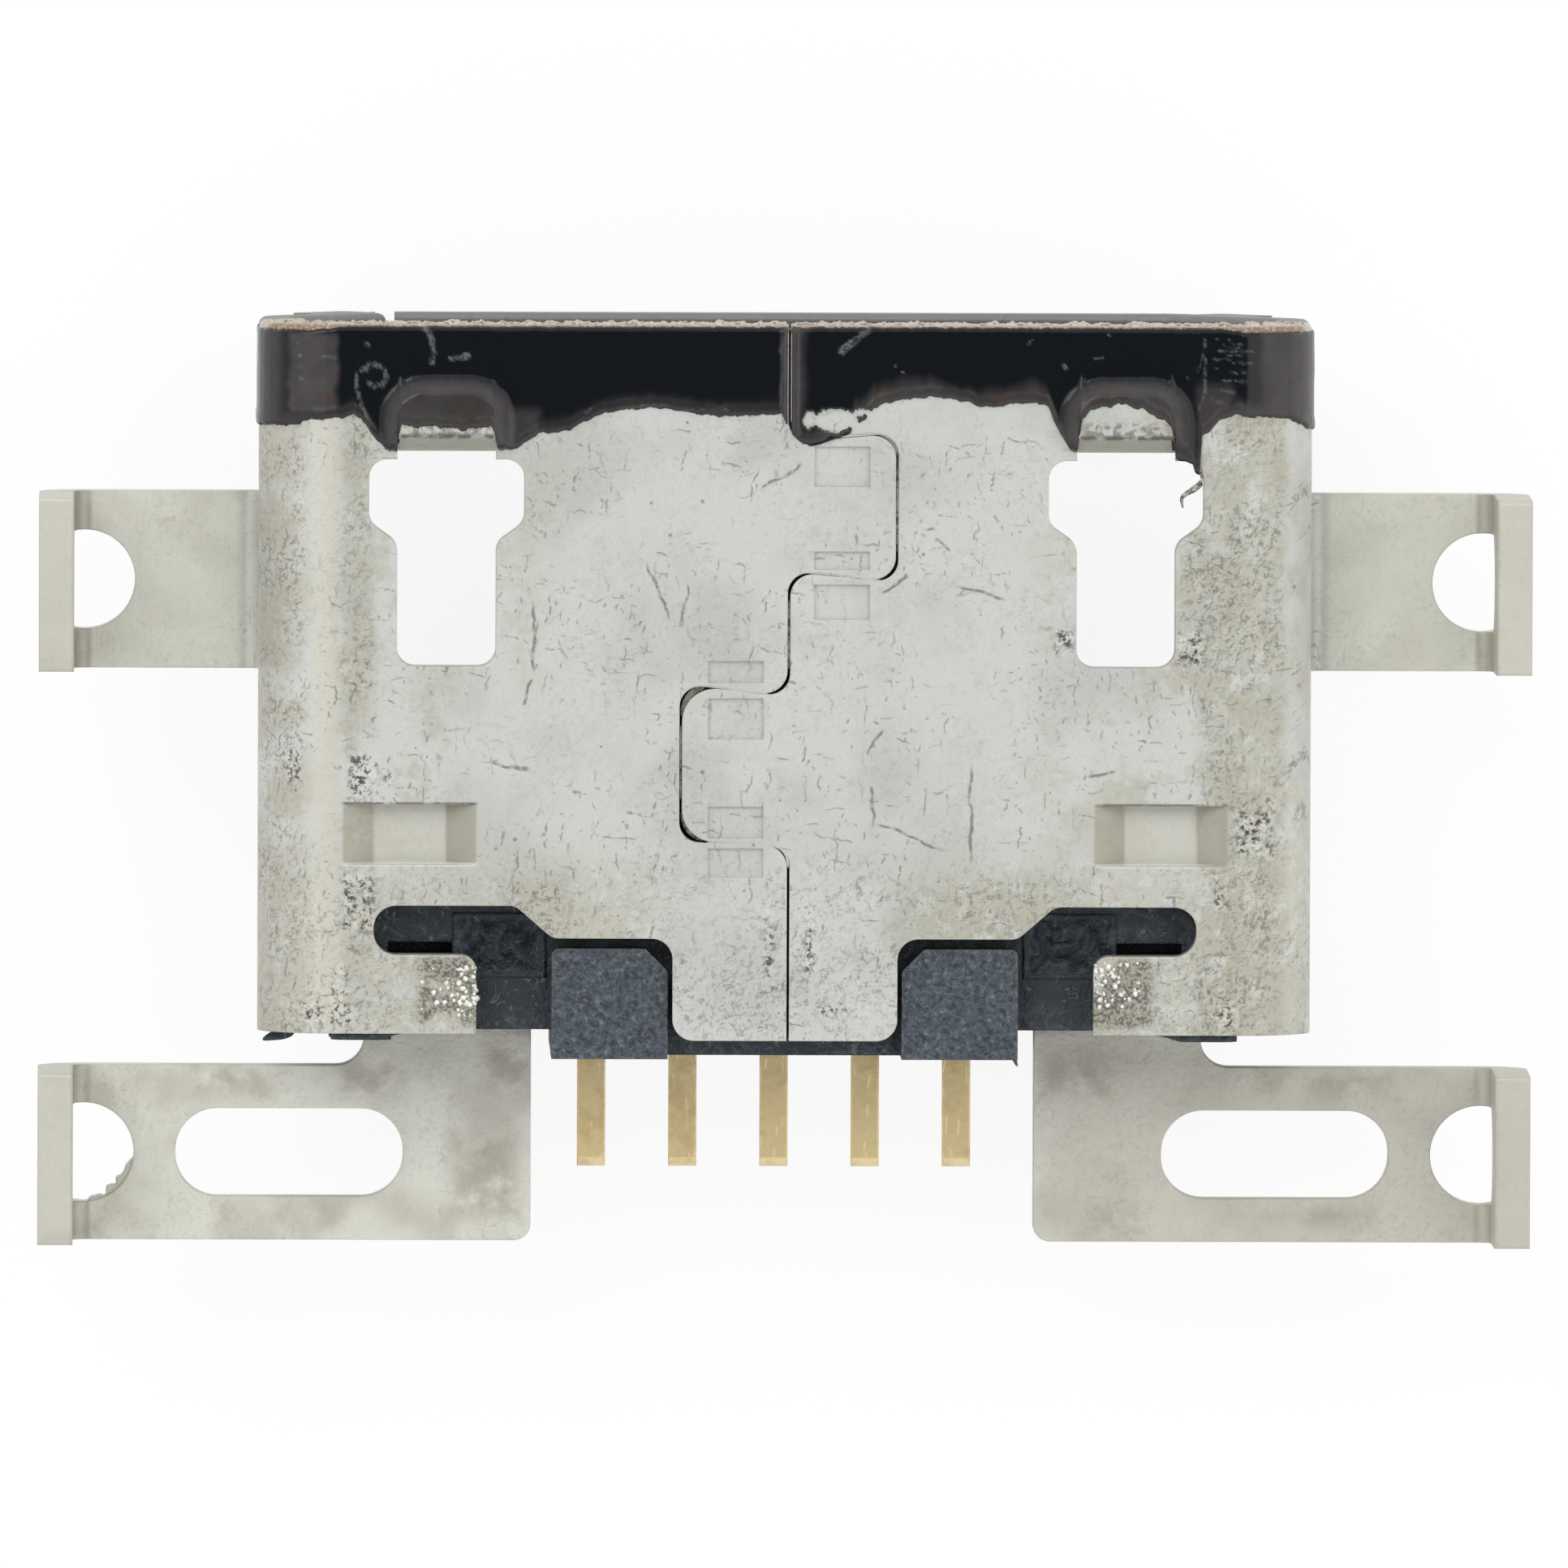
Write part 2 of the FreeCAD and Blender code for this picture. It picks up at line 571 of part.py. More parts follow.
def shell_leg_tips(shell):
    """The legs narrow a little towards their tips, and their free corners are rounded."""
    def shaving(edge, inward):
        low, high = "(board_plane + leg_bend)", "(leg_top + over)"
        return [(behind(f"{edge} - {inward} * over"), low), (behind(edge), low),
                (behind(f"{edge} + {inward} * leg_taper"), high), (behind(f"{edge} - {inward} * over"), high)]
    edges = (("side_front", 1), ("side_back", -1), ("rear_front", 1), ("rear_back", -1))
    shavings = [shaving(edge, inward) for edge, inward in edges]
    for side in SIDES:
        extrude(shell, "Pocket", f"{side}_leg_taper", "YZ", *through_legs(side), shavings)

    def tip(edge):
        runs_across = edge.BoundBox.XLength > number("sheet") - CLOSE
        return runs_across and spans(edge, (None, None, "leg_top"), (None, None, "leg_top"))
    round_edges(shell, "Fillet", "leg_tips", "leg_round", tip)


def make_shell():
    shell = new_body("shell")
    for step in (shell_tube, shell_ears, shell_coins, shell_hoods, shell_windows, shell_seam, shell_bridges,
                 shell_rear_edge, shell_openings, shell_wings, shell_ramps, shell_holes, shell_leg_tips):
        step(shell)
    return shell


def housing_base(housing):
    """The block that fills the rear of the tube, and the tongue that stands out of it into the mouth."""
    half, far = f"({INNER_HALF} - fit_gap)", f"({FAR_INNER_HALF} - fit_gap)"
    low, rise, high = "(sheet + fit_gap)", f"({BEVEL_INNER_RISE} + fit_gap)", f"({NEAR_INNER} - fit_gap)"
    right = [(far, low, "far_round - sheet"), (half, rise, "far_round - sheet"),
             (half, high, "near_round - sheet")]
    left = [(f"-1 * ({x})", z, bend) for x, z, bend in reversed(right)]
    extrude(housing, "Pad", "base", "XZ", f"-1 * {behind('base_front')}", "base_back - base_front",
            [right + left])
    wide, top = "tongue_width / 2", f"({TONGUE_UNDER} + tongue_thick)"
    tongue = rectangle(f"-1 * {wide}", wide, TONGUE_UNDER, top)
    extrude(housing, "Pad", "tongue", "XZ", f"-1 * {behind('tongue_tip')}", "base_front - tongue_tip + lap",
            [tongue])
    front = behind("tongue_tip")
    round_edges(housing, "Chamfer", "tongue_tip", "tongue_bevel",
                lambda edge: spans(edge, (None, front, None), (None, front, None)))


def housing_rear(housing):
    """The raised blocks in the seam wall's cut-outs, the ledge under the tab, the corner pads and the sinks."""
    block = [("block_in + block_bevel", "block_front", "block_round"),
             ("block_out", "block_front", "block_round"), ("block_out", "block_back"),
             ("block_in", "block_back"), ("block_in", "block_front + block_bevel", "block_round")]
    extrude(housing, "Pad", "blocks", "XY", "block_foot", "block_top - block_foot",
            both_sides(from_above(block)))
    high = f"({NEAR_INNER} - fit_gap)"
    ledge = rectangle("-1 * block_out", "block_out", "(sheet + fit_gap)", high)
    start = f"-1 * {behind('base_back - lap')}"
    extrude(housing, "Pad", "ledge", "XZ", start, "ledge_back - base_back + lap", [ledge])
    pads = both_sides(rectangle("pad_in", "pad_out", "block_foot", high, "corner_round"))
    extrude(housing, "Pad", "corner_pads", "XZ", start, "pad_back - base_back + lap", pads)
    sink = [("sink_in", "sink_front"), ("sink_out", "sink_front"), ("sink_out", "slit_front"),
            ("slit_out", "slit_front"), ("slit_out", "slot_back"), ("sink_out", "slot_back"),
            ("sink_out", "sink_back"), ("sink_in", "sink_back")]
    extrude(housing, "Pocket", "sinks", "XY", f"{high} - sink_depth", "sink_depth + over",
            both_sides(from_above(sink)))


def housing_clearances(housing):
    """Room for the shell's ramps and necks, and the grooves that the contacts lie in."""
    slant = f"atan({WING_UNDER} / (ramp_back - ramp_front))"
    spare = f"(sheet * tan({slant} / 2) + 3 * fit_gap)"
    above = "(board_plane + 2 * fit_gap)"
    low = "(sheet + 2 * fit_gap)"
    start, end = behind("base_front - over"), behind("base_back + over")
    under_ramp = [(start, "0"), (end, "0"), (end, above), (behind(f"ramp_back - {spare}"), above),
                  (behind(f"ramp_front - {spare}"), low), (start, low)]
    width = "ramp_out - ramp_in + 2 * lance_gap"
    extrude(housing, "Pocket", "right_ramp_room", "YZ", "ramp_in - lance_gap", width, [under_ramp])
    extrude(housing, "Pocket", "left_ramp_room", "YZ", "-1 * (ramp_out + lance_gap)", width, [under_ramp])
    neck = rectangle("rear_in - lance_gap", "neck_out + lance_gap", f"{WING_UNDER} - 2 * fit_gap", above)
    extrude(housing, "Pocket", "neck_room", "XZ", f"-1 * {behind('ramp_back - lance_gap')}",
            "ledge_back - ramp_back + lance_gap + over", both_sides(neck))


def contact_places():
    count = SIZES["contact_count"]
    return [f"(contact_shift + {index - (count - 1) / 2} * contact_pitch)" for index in range(count)]


def housing_grooves(housing):
    low, high = f"({CONTACT_UNDER} - contact_gap)", "(board_plane + contact_gap)"

    def grooves(width):
        half = f"({width} / 2 + contact_gap)"
        return [rectangle(f"{place} - {half}", f"{place} + {half}", low, high) for place in contact_places()]
    extrude(housing, "Pocket", "pad_grooves", "XZ", f"-1 * {behind('contact_tip - contact_gap')}",
            "pad_end - contact_tip + 2 * contact_gap", grooves("pad_width"))
    extrude(housing, "Pocket", "tail_grooves", "XZ", f"-1 * {behind('pad_end - contact_gap')}",
            "ledge_back - pad_end + over", grooves("tail_width"))


def make_housing():
    housing = new_body("housing")
    for step in (housing_base, housing_rear, housing_clearances, housing_grooves):
        step(housing)
    return housing


def make_contact(name, place):
    """A flat strip: a wide pad on the tongue's far face, then a narrow tail out of the moulding's rear."""
    contact = new_body(name)
    pad, tail = "pad_width / 2", "tail_width / 2"
    outline = [(f"{place} - {pad}", "contact_tip"), (f"{place} + {pad}", "contact_tip"),
               (f"{place} + {pad}", "pad_end"), (f"{place} + {tail}", "pad_end"),
               (f"{place} + {tail}", "tail_end"), (f"{place} - {tail}", "tail_end"),
               (f"{place} - {tail}", "pad_end"), (f"{place} - {pad}", "pad_end")]
    extrude(contact, "Pad", f"{name}_strip", "XY", CONTACT_UNDER, "contact_thick", [from_above(outline)])
    tip, end = behind("contact_tip"), behind("tail_end")

    def worn_end(edge):
        at_tip = spans(edge, (None, tip, CONTACT_UNDER), (None, tip, CONTACT_UNDER))
        at_end = spans(edge, (None, end, None), (None, end, None)) and edge.BoundBox.XLength > CLOSE
        return at_tip or at_end
    round_edges(contact, "Chamfer", f"{name}_ends", "tip_bevel", worn_end)
    return contact


parts = [make_shell(), make_housing()]
for position, place in enumerate(contact_places(), start=1):
    parts.append(make_contact(f"contact_{position}", place))
doc.recompute()

for item in doc.Objects:
    if "Invalid" in item.State or "Error" in item.State:
        raise RuntimeError(f"{item.Name} failed: {item.State}")
for part in parts:
    if part.Shape.isNull() or not part.Shape.isValid() or len(part.Shape.Solids) != 1:
        raise RuntimeError(f"{part.Label} is not one valid solid")

os.makedirs("parts", exist_ok=True)
for part in parts:
    part.Shape.exportStep(f"parts/{part.Label}.step")
    box = part.Shape.BoundBox
    print(f"{part.Label}: volume {part.Shape.Volume:.4f}, x {box.XMin:.3f} {box.XMax:.3f}, "
          f"y {box.YMin:.3f} {box.YMax:.3f}, z {box.ZMin:.3f} {box.ZMax:.3f}")
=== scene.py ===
import math
import bmesh
import bpy
from mathutils import Matrix, Quaternion, Vector, noise as waves
from mathutils.bvhtree import BVHTree


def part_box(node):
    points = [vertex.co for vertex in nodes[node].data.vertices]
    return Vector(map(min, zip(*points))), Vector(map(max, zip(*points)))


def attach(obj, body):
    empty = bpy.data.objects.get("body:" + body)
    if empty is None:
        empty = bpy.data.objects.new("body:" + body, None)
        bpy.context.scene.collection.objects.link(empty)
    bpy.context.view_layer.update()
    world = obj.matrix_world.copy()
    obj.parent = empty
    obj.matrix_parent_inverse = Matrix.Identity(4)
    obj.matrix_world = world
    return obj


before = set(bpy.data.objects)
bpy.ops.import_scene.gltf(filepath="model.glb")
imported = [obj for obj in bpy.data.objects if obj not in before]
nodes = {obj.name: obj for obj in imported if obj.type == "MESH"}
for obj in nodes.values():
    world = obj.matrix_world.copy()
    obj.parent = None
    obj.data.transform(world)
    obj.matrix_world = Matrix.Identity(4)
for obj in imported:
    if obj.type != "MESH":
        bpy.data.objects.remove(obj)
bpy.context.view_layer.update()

scene = bpy.context.scene
mm = 0.001

# places read from the frame, in millimetres
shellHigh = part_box("shell")[1] / mm
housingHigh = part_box("housing")[1] / mm
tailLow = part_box("contact_3")[0] / mm
mouthY = shellHigh.y
wallZ = shellHigh.z - 0.12      # outer face of the seam wall, under the hoods
print("frame loaded: mouth at", round(mouthY, 3), "seam wall at", round(wallZ, 3))


def put(socket, value):
    if isinstance(value, bpy.types.NodeSocket):
        socket.id_data.links.new(value, socket)
    else:
        socket.default_value = value


def fill(node, inputs):
    for label, value in inputs.items():
        if value is not None:
            put(node.inputs[label], value)
    return node


def build(beside, kind, inputs=None, **settings):
    # a node in the tree that the socket or node beside it belongs to
    node = beside.id_data.nodes.new(kind)
    for name, value in settings.items():
        setattr(node, name, value)
    return fill(node, inputs or {})


def calc(operation, *values, clamp=False):
    beside = next(value for value in values if isinstance(value, bpy.types.NodeSocket))
    return build(beside, "ShaderNodeMath", dict(enumerate(values)), operation=operation, use_clamp=clamp).outputs[0]


def chain(operation, values):
    result = values[0]
    for value in values[1:]:
        result = calc(operation, result, value)
    return result


def times(*values):
    return chain("MULTIPLY", values)


def plus(*values):
    return chain("ADD", values)


def minus(*values):
    return chain("SUBTRACT", values)


def most(*values):
    return chain("MAXIMUM", values)


def absolute(value):
    return calc("ABSOLUTE", value)


def vectorCalc(operation, a, b=None, scale=None):
    node = build(a, "ShaderNodeVectorMath", {0: a, 1: b, "Scale": scale}, operation=operation)
    return node.outputs["Value" if operation == "DOT_PRODUCT" else "Vector"]


def slope(value, low, high):
    # 0 at low, 1 at high, smooth between, either way round
    return build(value, "ShaderNodeMapRange", {"Value": value, "From Min": low, "From Max": high},
                 interpolation_type="SMOOTHSTEP").outputs["Result"]


def between(value, low, high, soft):
    return times(slope(value, low - soft, low + soft), slope(value, high + soft, high - soft))


def mixColor(factor, a, b):
    return build(factor, "ShaderNodeMix", {0: factor, 6: a, 7: b}, data_type="RGBA").outputs[2]


def mixValue(factor, a, b):
    return build(factor, "ShaderNodeMix", {0: factor, 2: a, 3: b}).outputs[0]


def noise(place, scale, detail=3.0, roughness=0.55, distortion=0.0, result="Fac"):
    inputs = {"Vector": place, "Scale": scale, "Detail": detail, "Roughness": roughness, "Distortion": distortion}
    return build(place, "ShaderNodeTexNoise", inputs).outputs[result]


def drift(place, scale, amount):
    # an uneven shift to all sides, by up to half the amount
    spread = vectorCalc("SUBTRACT", noise(place, scale, 2.0, 0.5, result="Color"), (0.5, 0.5, 0.5))
    return vectorCalc("SCALE", spread, scale=amount)


def split(place):
    return build(place, "ShaderNodeSeparateXYZ", {0: place}).outputs


def join(x, y, z):
    return build(x, "ShaderNodeCombineXYZ", {0: x, 1: y, 2: z}).outputs[0]


def turned(place, angle):
    return build(place, "ShaderNodeVectorRotate", {"Vector": place, "Angle": angle}, rotation_type="Z_AXIS").outputs[0]


def cellsOf(place, dimensions):
    return build(place, "ShaderNodeTexVoronoi", {"Vector": place, "Scale": 1.0}, voronoi_dimensions=dimensions).outputs


def srgb(red, green, blue):
    def linear(value):
        value /= 255
        return value / 12.92 if value <= 0.04045 else ((value + 0.055) / 1.055) ** 2.4
    return (linear(red), linear(green), linear(blue), 1)


def newGroup(name, **inputs):
    # a shader group that gives a mask; an input without a default value is a vector
    group = bpy.data.node_groups.new(name, "ShaderNodeTree")
    for label, value in inputs.items():
        kind = "NodeSocketVector" if value is None else "NodeSocketFloat"
        socket = group.interface.new_socket(label, in_out="INPUT", socket_type=kind)
        if value is not None:
            socket.default_value = value
    group.interface.new_socket("Mask", in_out="OUTPUT", socket_type="NodeSocketFloat")
    return group, group.nodes.new("NodeGroupInput").outputs, group.nodes.new("NodeGroupOutput").inputs["Mask"]


def maskOf(group, beside=None, **values):
    return build(beside or values["Place"], "ShaderNodeGroup", values, node_tree=group).outputs["Mask"]


def strokesGroup():
    # short scratches, one to a cell, each at its own slight angle, crooked and of uneven strength
    group, given, result = newGroup("strokes", Place=None, Turn=0.0, Cell=0.5, Length=0.4, Width=0.01, Spread=0.6,
                                    Cover=0.5, Waver=0.0)
    place = vectorCalc("ADD", given["Place"], drift(given["Place"], 9.0, given["Waver"]))
    place = vectorCalc("SCALE", turned(place, given["Turn"]), scale=calc("DIVIDE", 1.0, given["Cell"]))
    cells = cellsOf(place, "2D")
    apart = vectorCalc("SCALE", vectorCalc("SUBTRACT", place, cells["Position"]), scale=given["Cell"])
    chance = split(cells["Color"])
    along = split(turned(apart, times(minus(chance[0], 0.5), given["Spread"])))
    half = times(given["Length"], plus(times(chance[1], 0.4), 0.15))
    ends = slope(absolute(along[0]), half, times(half, 0.4))
    thin = slope(absolute(along[1]), given["Width"], times(given["Width"], 0.3))
    shown = calc("LESS_THAN", chance[2], given["Cover"])
    strength = plus(times(chance[0], 0.6), 0.4)
    put(result, times(times(ends, thin), times(shown, strength)))
    return group


def pitsGroup():
    # round spots of random size, at a share of the cells
    group, given, result = newGroup("pits", Place=None, Cell=0.1, Size=0.02, Cover=0.3)
    cells = cellsOf(vectorCalc("SCALE", given["Place"], scale=calc("DIVIDE", 1.0, given["Cell"])), "3D")
    chance = split(cells["Color"])
    reach = calc("DIVIDE", times(given["Size"], plus(chance[1], 0.3)), given["Cell"])
    spot = slope(cells["Distance"], reach, times(reach, 0.35))
    put(result, times(spot, calc("LESS_THAN", chance[0], given["Cover"])))
    return group


def edgesGroup():
    # how far the surface turns within a small radius: sheared edges and folds
    group, given, result = newGroup("edges", Reach=0.00002, From=0.02, To=0.3)
    bevel = build(result, "ShaderNodeBevel", {"Radius": given["Reach"]}, samples=6).outputs[0]
    facing = build(result, "ShaderNodeNewGeometry").outputs["Normal"]
    turn = minus(1.0, vectorCalc("DOT_PRODUCT", bevel, facing))
    put(result, slope(turn, given["From"], given["To"]))
    return group


def scuffsGroup():
    # short wandering cracks: thin level lines of one noise, broken up by another
    group, given, result = newGroup("scuffs", Place=None, Scale=4.0, Width=0.02, Cover=0.4)
    wander = noise(given["Place"], given["Scale"], 1.0, 0.6, 0.5)
    line = slope(absolute(minus(wander, 0.5)), given["Width"], 0.0)
    broken = noise(given["Place"], times(given["Scale"], 1.7), 1.0, 0.5)
    edge = minus(0.86, times(given["Cover"], 0.5))
    put(result, times(line, slope(broken, minus(edge, 0.05), edge)))
    return group


def zoneGroup():
    # 1 inside a box, fading out over Soft around its border
    group, given, result = newGroup("zone", Place=None, Middle=None, Half=None, Soft=0.03)
    apart = vectorCalc("ABSOLUTE", vectorCalc("SUBTRACT", given["Place"], given["Middle"]))
    beyond = split(vectorCalc("SUBTRACT", apart, given["Half"]))
    put(result, slope(most(beyond[0], beyond[1]), given["Soft"], times(given["Soft"], -1.0)))
    return group


def scratchGroup():
    # one thin line that fades at both ends, around a middle given along two directions
    group, given, result = newGroup("scratch", Place=None, Ahead=None, Aside=None, AheadAt=0.0, AsideAt=0.0, Half=0.1,
                                    Width=0.01)
    away = minus(vectorCalc("DOT_PRODUCT", given["Place"], given["Aside"]), given["AsideAt"])
    line = slope(absolute(away), given["Width"], times(given["Width"], 0.2))
    along = minus(vectorCalc("DOT_PRODUCT", given["Place"], given["Ahead"]), given["AheadAt"])
    ends = slope(absolute(along), given["Half"], times(given["Half"], 0.7))
    put(result, times(line, ends))
    return group


strokes, pits, edges, scuffs = strokesGroup(), pitsGroup(), edgesGroup(), scuffsGroup()
zone, scratch = zoneGroup(), scratchGroup()


def anyZone(seen, boxes, soft):
    # boxes are (middle across, middle depth, half width, half height), in millimetres
    result = 0.0
    for across, depth, wide, high in boxes:
        result = most(result, maskOf(zone, Place=seen, Middle=(across, depth, 0), Half=(wide, high, 9), Soft=soft))
    return result


def newMaterial(name):
    material = bpy.data.materials.new(name)
    material.use_nodes = True
    shader = material.node_tree.nodes["Principled BSDF"]
    coords = build(shader, "ShaderNodeTexCoord").outputs["Object"]
    return material, shader, vectorCalc("SCALE", coords, scale=1 / mm)


class Paint:
    # a look's colours in layers: each covers the last by the product of its factors
    def __init__(self, look, under, over, *factors):
        self.look = look
        self.color = self.tint(under)
        self.lay(over, *factors)

    def tint(self, name):
        return srgb(*self.look[name]) if isinstance(name, str) else name

    def lay(self, over, *factors):
        self.color = mixColor(times(*factors), self.color, self.tint(over))


def bumpFrom(shader, height, softEdge):
    # height in millimetres, over a normal that rounds sharp edges by softEdge
    bevel = build(shader, "ShaderNodeBevel", {"Radius": softEdge * mm}, samples=6)
    bump = build(shader, "ShaderNodeBump", {"Strength": 1.0, "Distance": mm, "Height": height,
                                            "Normal": bevel.outputs[0]})
    put(shader.inputs["Normal"], bump.outputs[0])


shellLook = {
    # bend is used as painted shade and shine as a painted highlight; scuff marks scuffs and also painted shade; inside
    # and deep are painted shade in the mouth
    "steel": (194, 196, 191), "steelDark": (180, 182, 176), "cream": (195, 193, 181), "warm": (178, 175, 161),
    "edge": (178, 175, 163), "shine": (214, 213, 205), "wing": (208, 207, 197), "stain": (184, 182, 171),
    "soil": (146, 142, 128), "bend": (160, 158, 144), "dull": (166, 164, 150), "scratch": (104, 105, 101),
    "scuff": (112, 111, 103), "pit": (80, 79, 74), "speck": (46, 48, 50), "rim": (196, 186, 170),
    "fringe": (120, 76, 50), "inside": (106, 106, 105), "deep": (44, 44, 44),
    "metallic": 0.42, "roughness": 0.5, "softEdge": 0.018,
    # seen from above, in millimetres: dark speckled patches and dull worked patches of the seam wall, soiled
    # patches of the wings, as (middle across, middle depth, half width, half height)
    "speckled": [
        (-3.03, 4.10, 0.11, 0.20), (-3.16, 4.77, 0.06, 0.20), (-2.99, 3.21, 0.10, 0.15),
        (-2.82, 3.22, 0.03, 0.05), (-3.49, 3.10, 0.05, 0.15), (-3.35, 4.89, 0.07, 0.07),
        (-3.12, 4.91, 0.06, 0.07), (3.14, 4.89, 0.08, 0.10), (3.33, 3.60, 0.12, 0.15),
        (1.97, 2.25, 0.06, 0.09), (2.87, 2.29, 0.09, 0.11), (-0.11, 4.41, 0.03, 0.31),
        (0.17, 4.36, 0.03, 0.24), (0.42, 4.86, 0.18, 0.03), (3.09, 4.02, 0.05, 0.13),
    ],
    "worked": [
        (1.44, 4.17, 0.68, 0.23), (-1.77, 4.17, 0.23, 0.23), (2.98, 1.76, 0.20, 0.83),
        (-3.05, 1.90, 0.10, 0.98), (2.34, 4.74, 0.14, 0.25), (3.09, 3.91, 0.14, 1.04),
    ],
    "soiled": [
        (-3.85, 1.24, 0.05, 0.03), (-4.41, 2.46, 0.06, 0.03), (-5.18, 2.46, 0.12, 0.03),
        (-4.91, 6.49, 0.04, 0.03), (-5.11, 6.52, 0.18, 0.04), (-3.76, 6.39, 0.24, 0.07),
        (-3.21, 6.39, 0.05, 0.06), (-3.93, 5.43, 0.26, 0.10), (-2.95, 5.42, 0.22, 0.12),
        (3.87, 5.43, 0.47, 0.09), (2.09, 5.38, 0.24, 0.16), (2.36, 6.43, 0.24, 0.10), (3.81, 6.38, 0.40, 0.07),
        (-2.12, 6.10, 0.23, 0.29), (-1.97, 5.32, 0.14, 0.14),
    ],
    # single scratches of the seam wall: from (across, depth) to (across, depth)
    "scratches": [
        (-1.79, 1.93, -1.80, 2.50), (-1.80, 2.52, -1.86, 2.72), (-1.00, 1.66, -0.82, 2.11),
        (-0.20, 1.17, 0.12, 0.98), (-0.75, 2.16, -0.69, 1.84), (0.67, 1.91, 0.88, 1.76),
        (1.19, 1.84, 1.57, 1.95), (-2.12, 3.10, -1.80, 3.17), (1.31, 3.09, 1.32, 3.86),
        (0.63, 3.53, 1.15, 3.74), (0.60, 3.25, 0.63, 3.57), (0.57, 3.06, 0.69, 2.87), (2.14, 3.20, 2.35, 3.15),
        (1.05, 1.50, 1.17, 1.61),
    ],
}


# where the shell shows its folds and pressings, in millimetres: strips as (from, to, softness) outward from the
# middle, and patches as one strip outward and one in depth behind the rim
shellAt = {
    "band": (3.17, 3.36, 0.06), "column": (3.08, 3.54, 0.07), "crease": (2.93, 3.12, 0.05), "bend": (4.93, 5.07, 0.02),
    "root": (3.7, 3.86, 0.05), "rampFrom": 0.235, "rampTo": 0.27, "bridgeMiddle": 2.665,
    "bridge": ((2.19, 3.14, 0.01), (3.41, 3.84, 0.008)), "shearShadow": ((2.19, 3.14, 0.02), (3.395, 3.413, 0.006)),
    "lip": ((2.19, 3.14, 0.02), (3.826, 3.85, 0.008)), "crest": ((2.08, 2.74, 0.01), (0.775, 0.812, 0.012)),
    "hoodBack": ((2.06, 2.76, 0.01), (0.81, 0.91, 0.01)), "hoodFront": ((2.1, 2.72, 0.04), (0.69, 0.79, 0.02)),
    "pebbled": ((2.1, 2.6, 0.06), (4.5, 4.98, 0.04)),
}


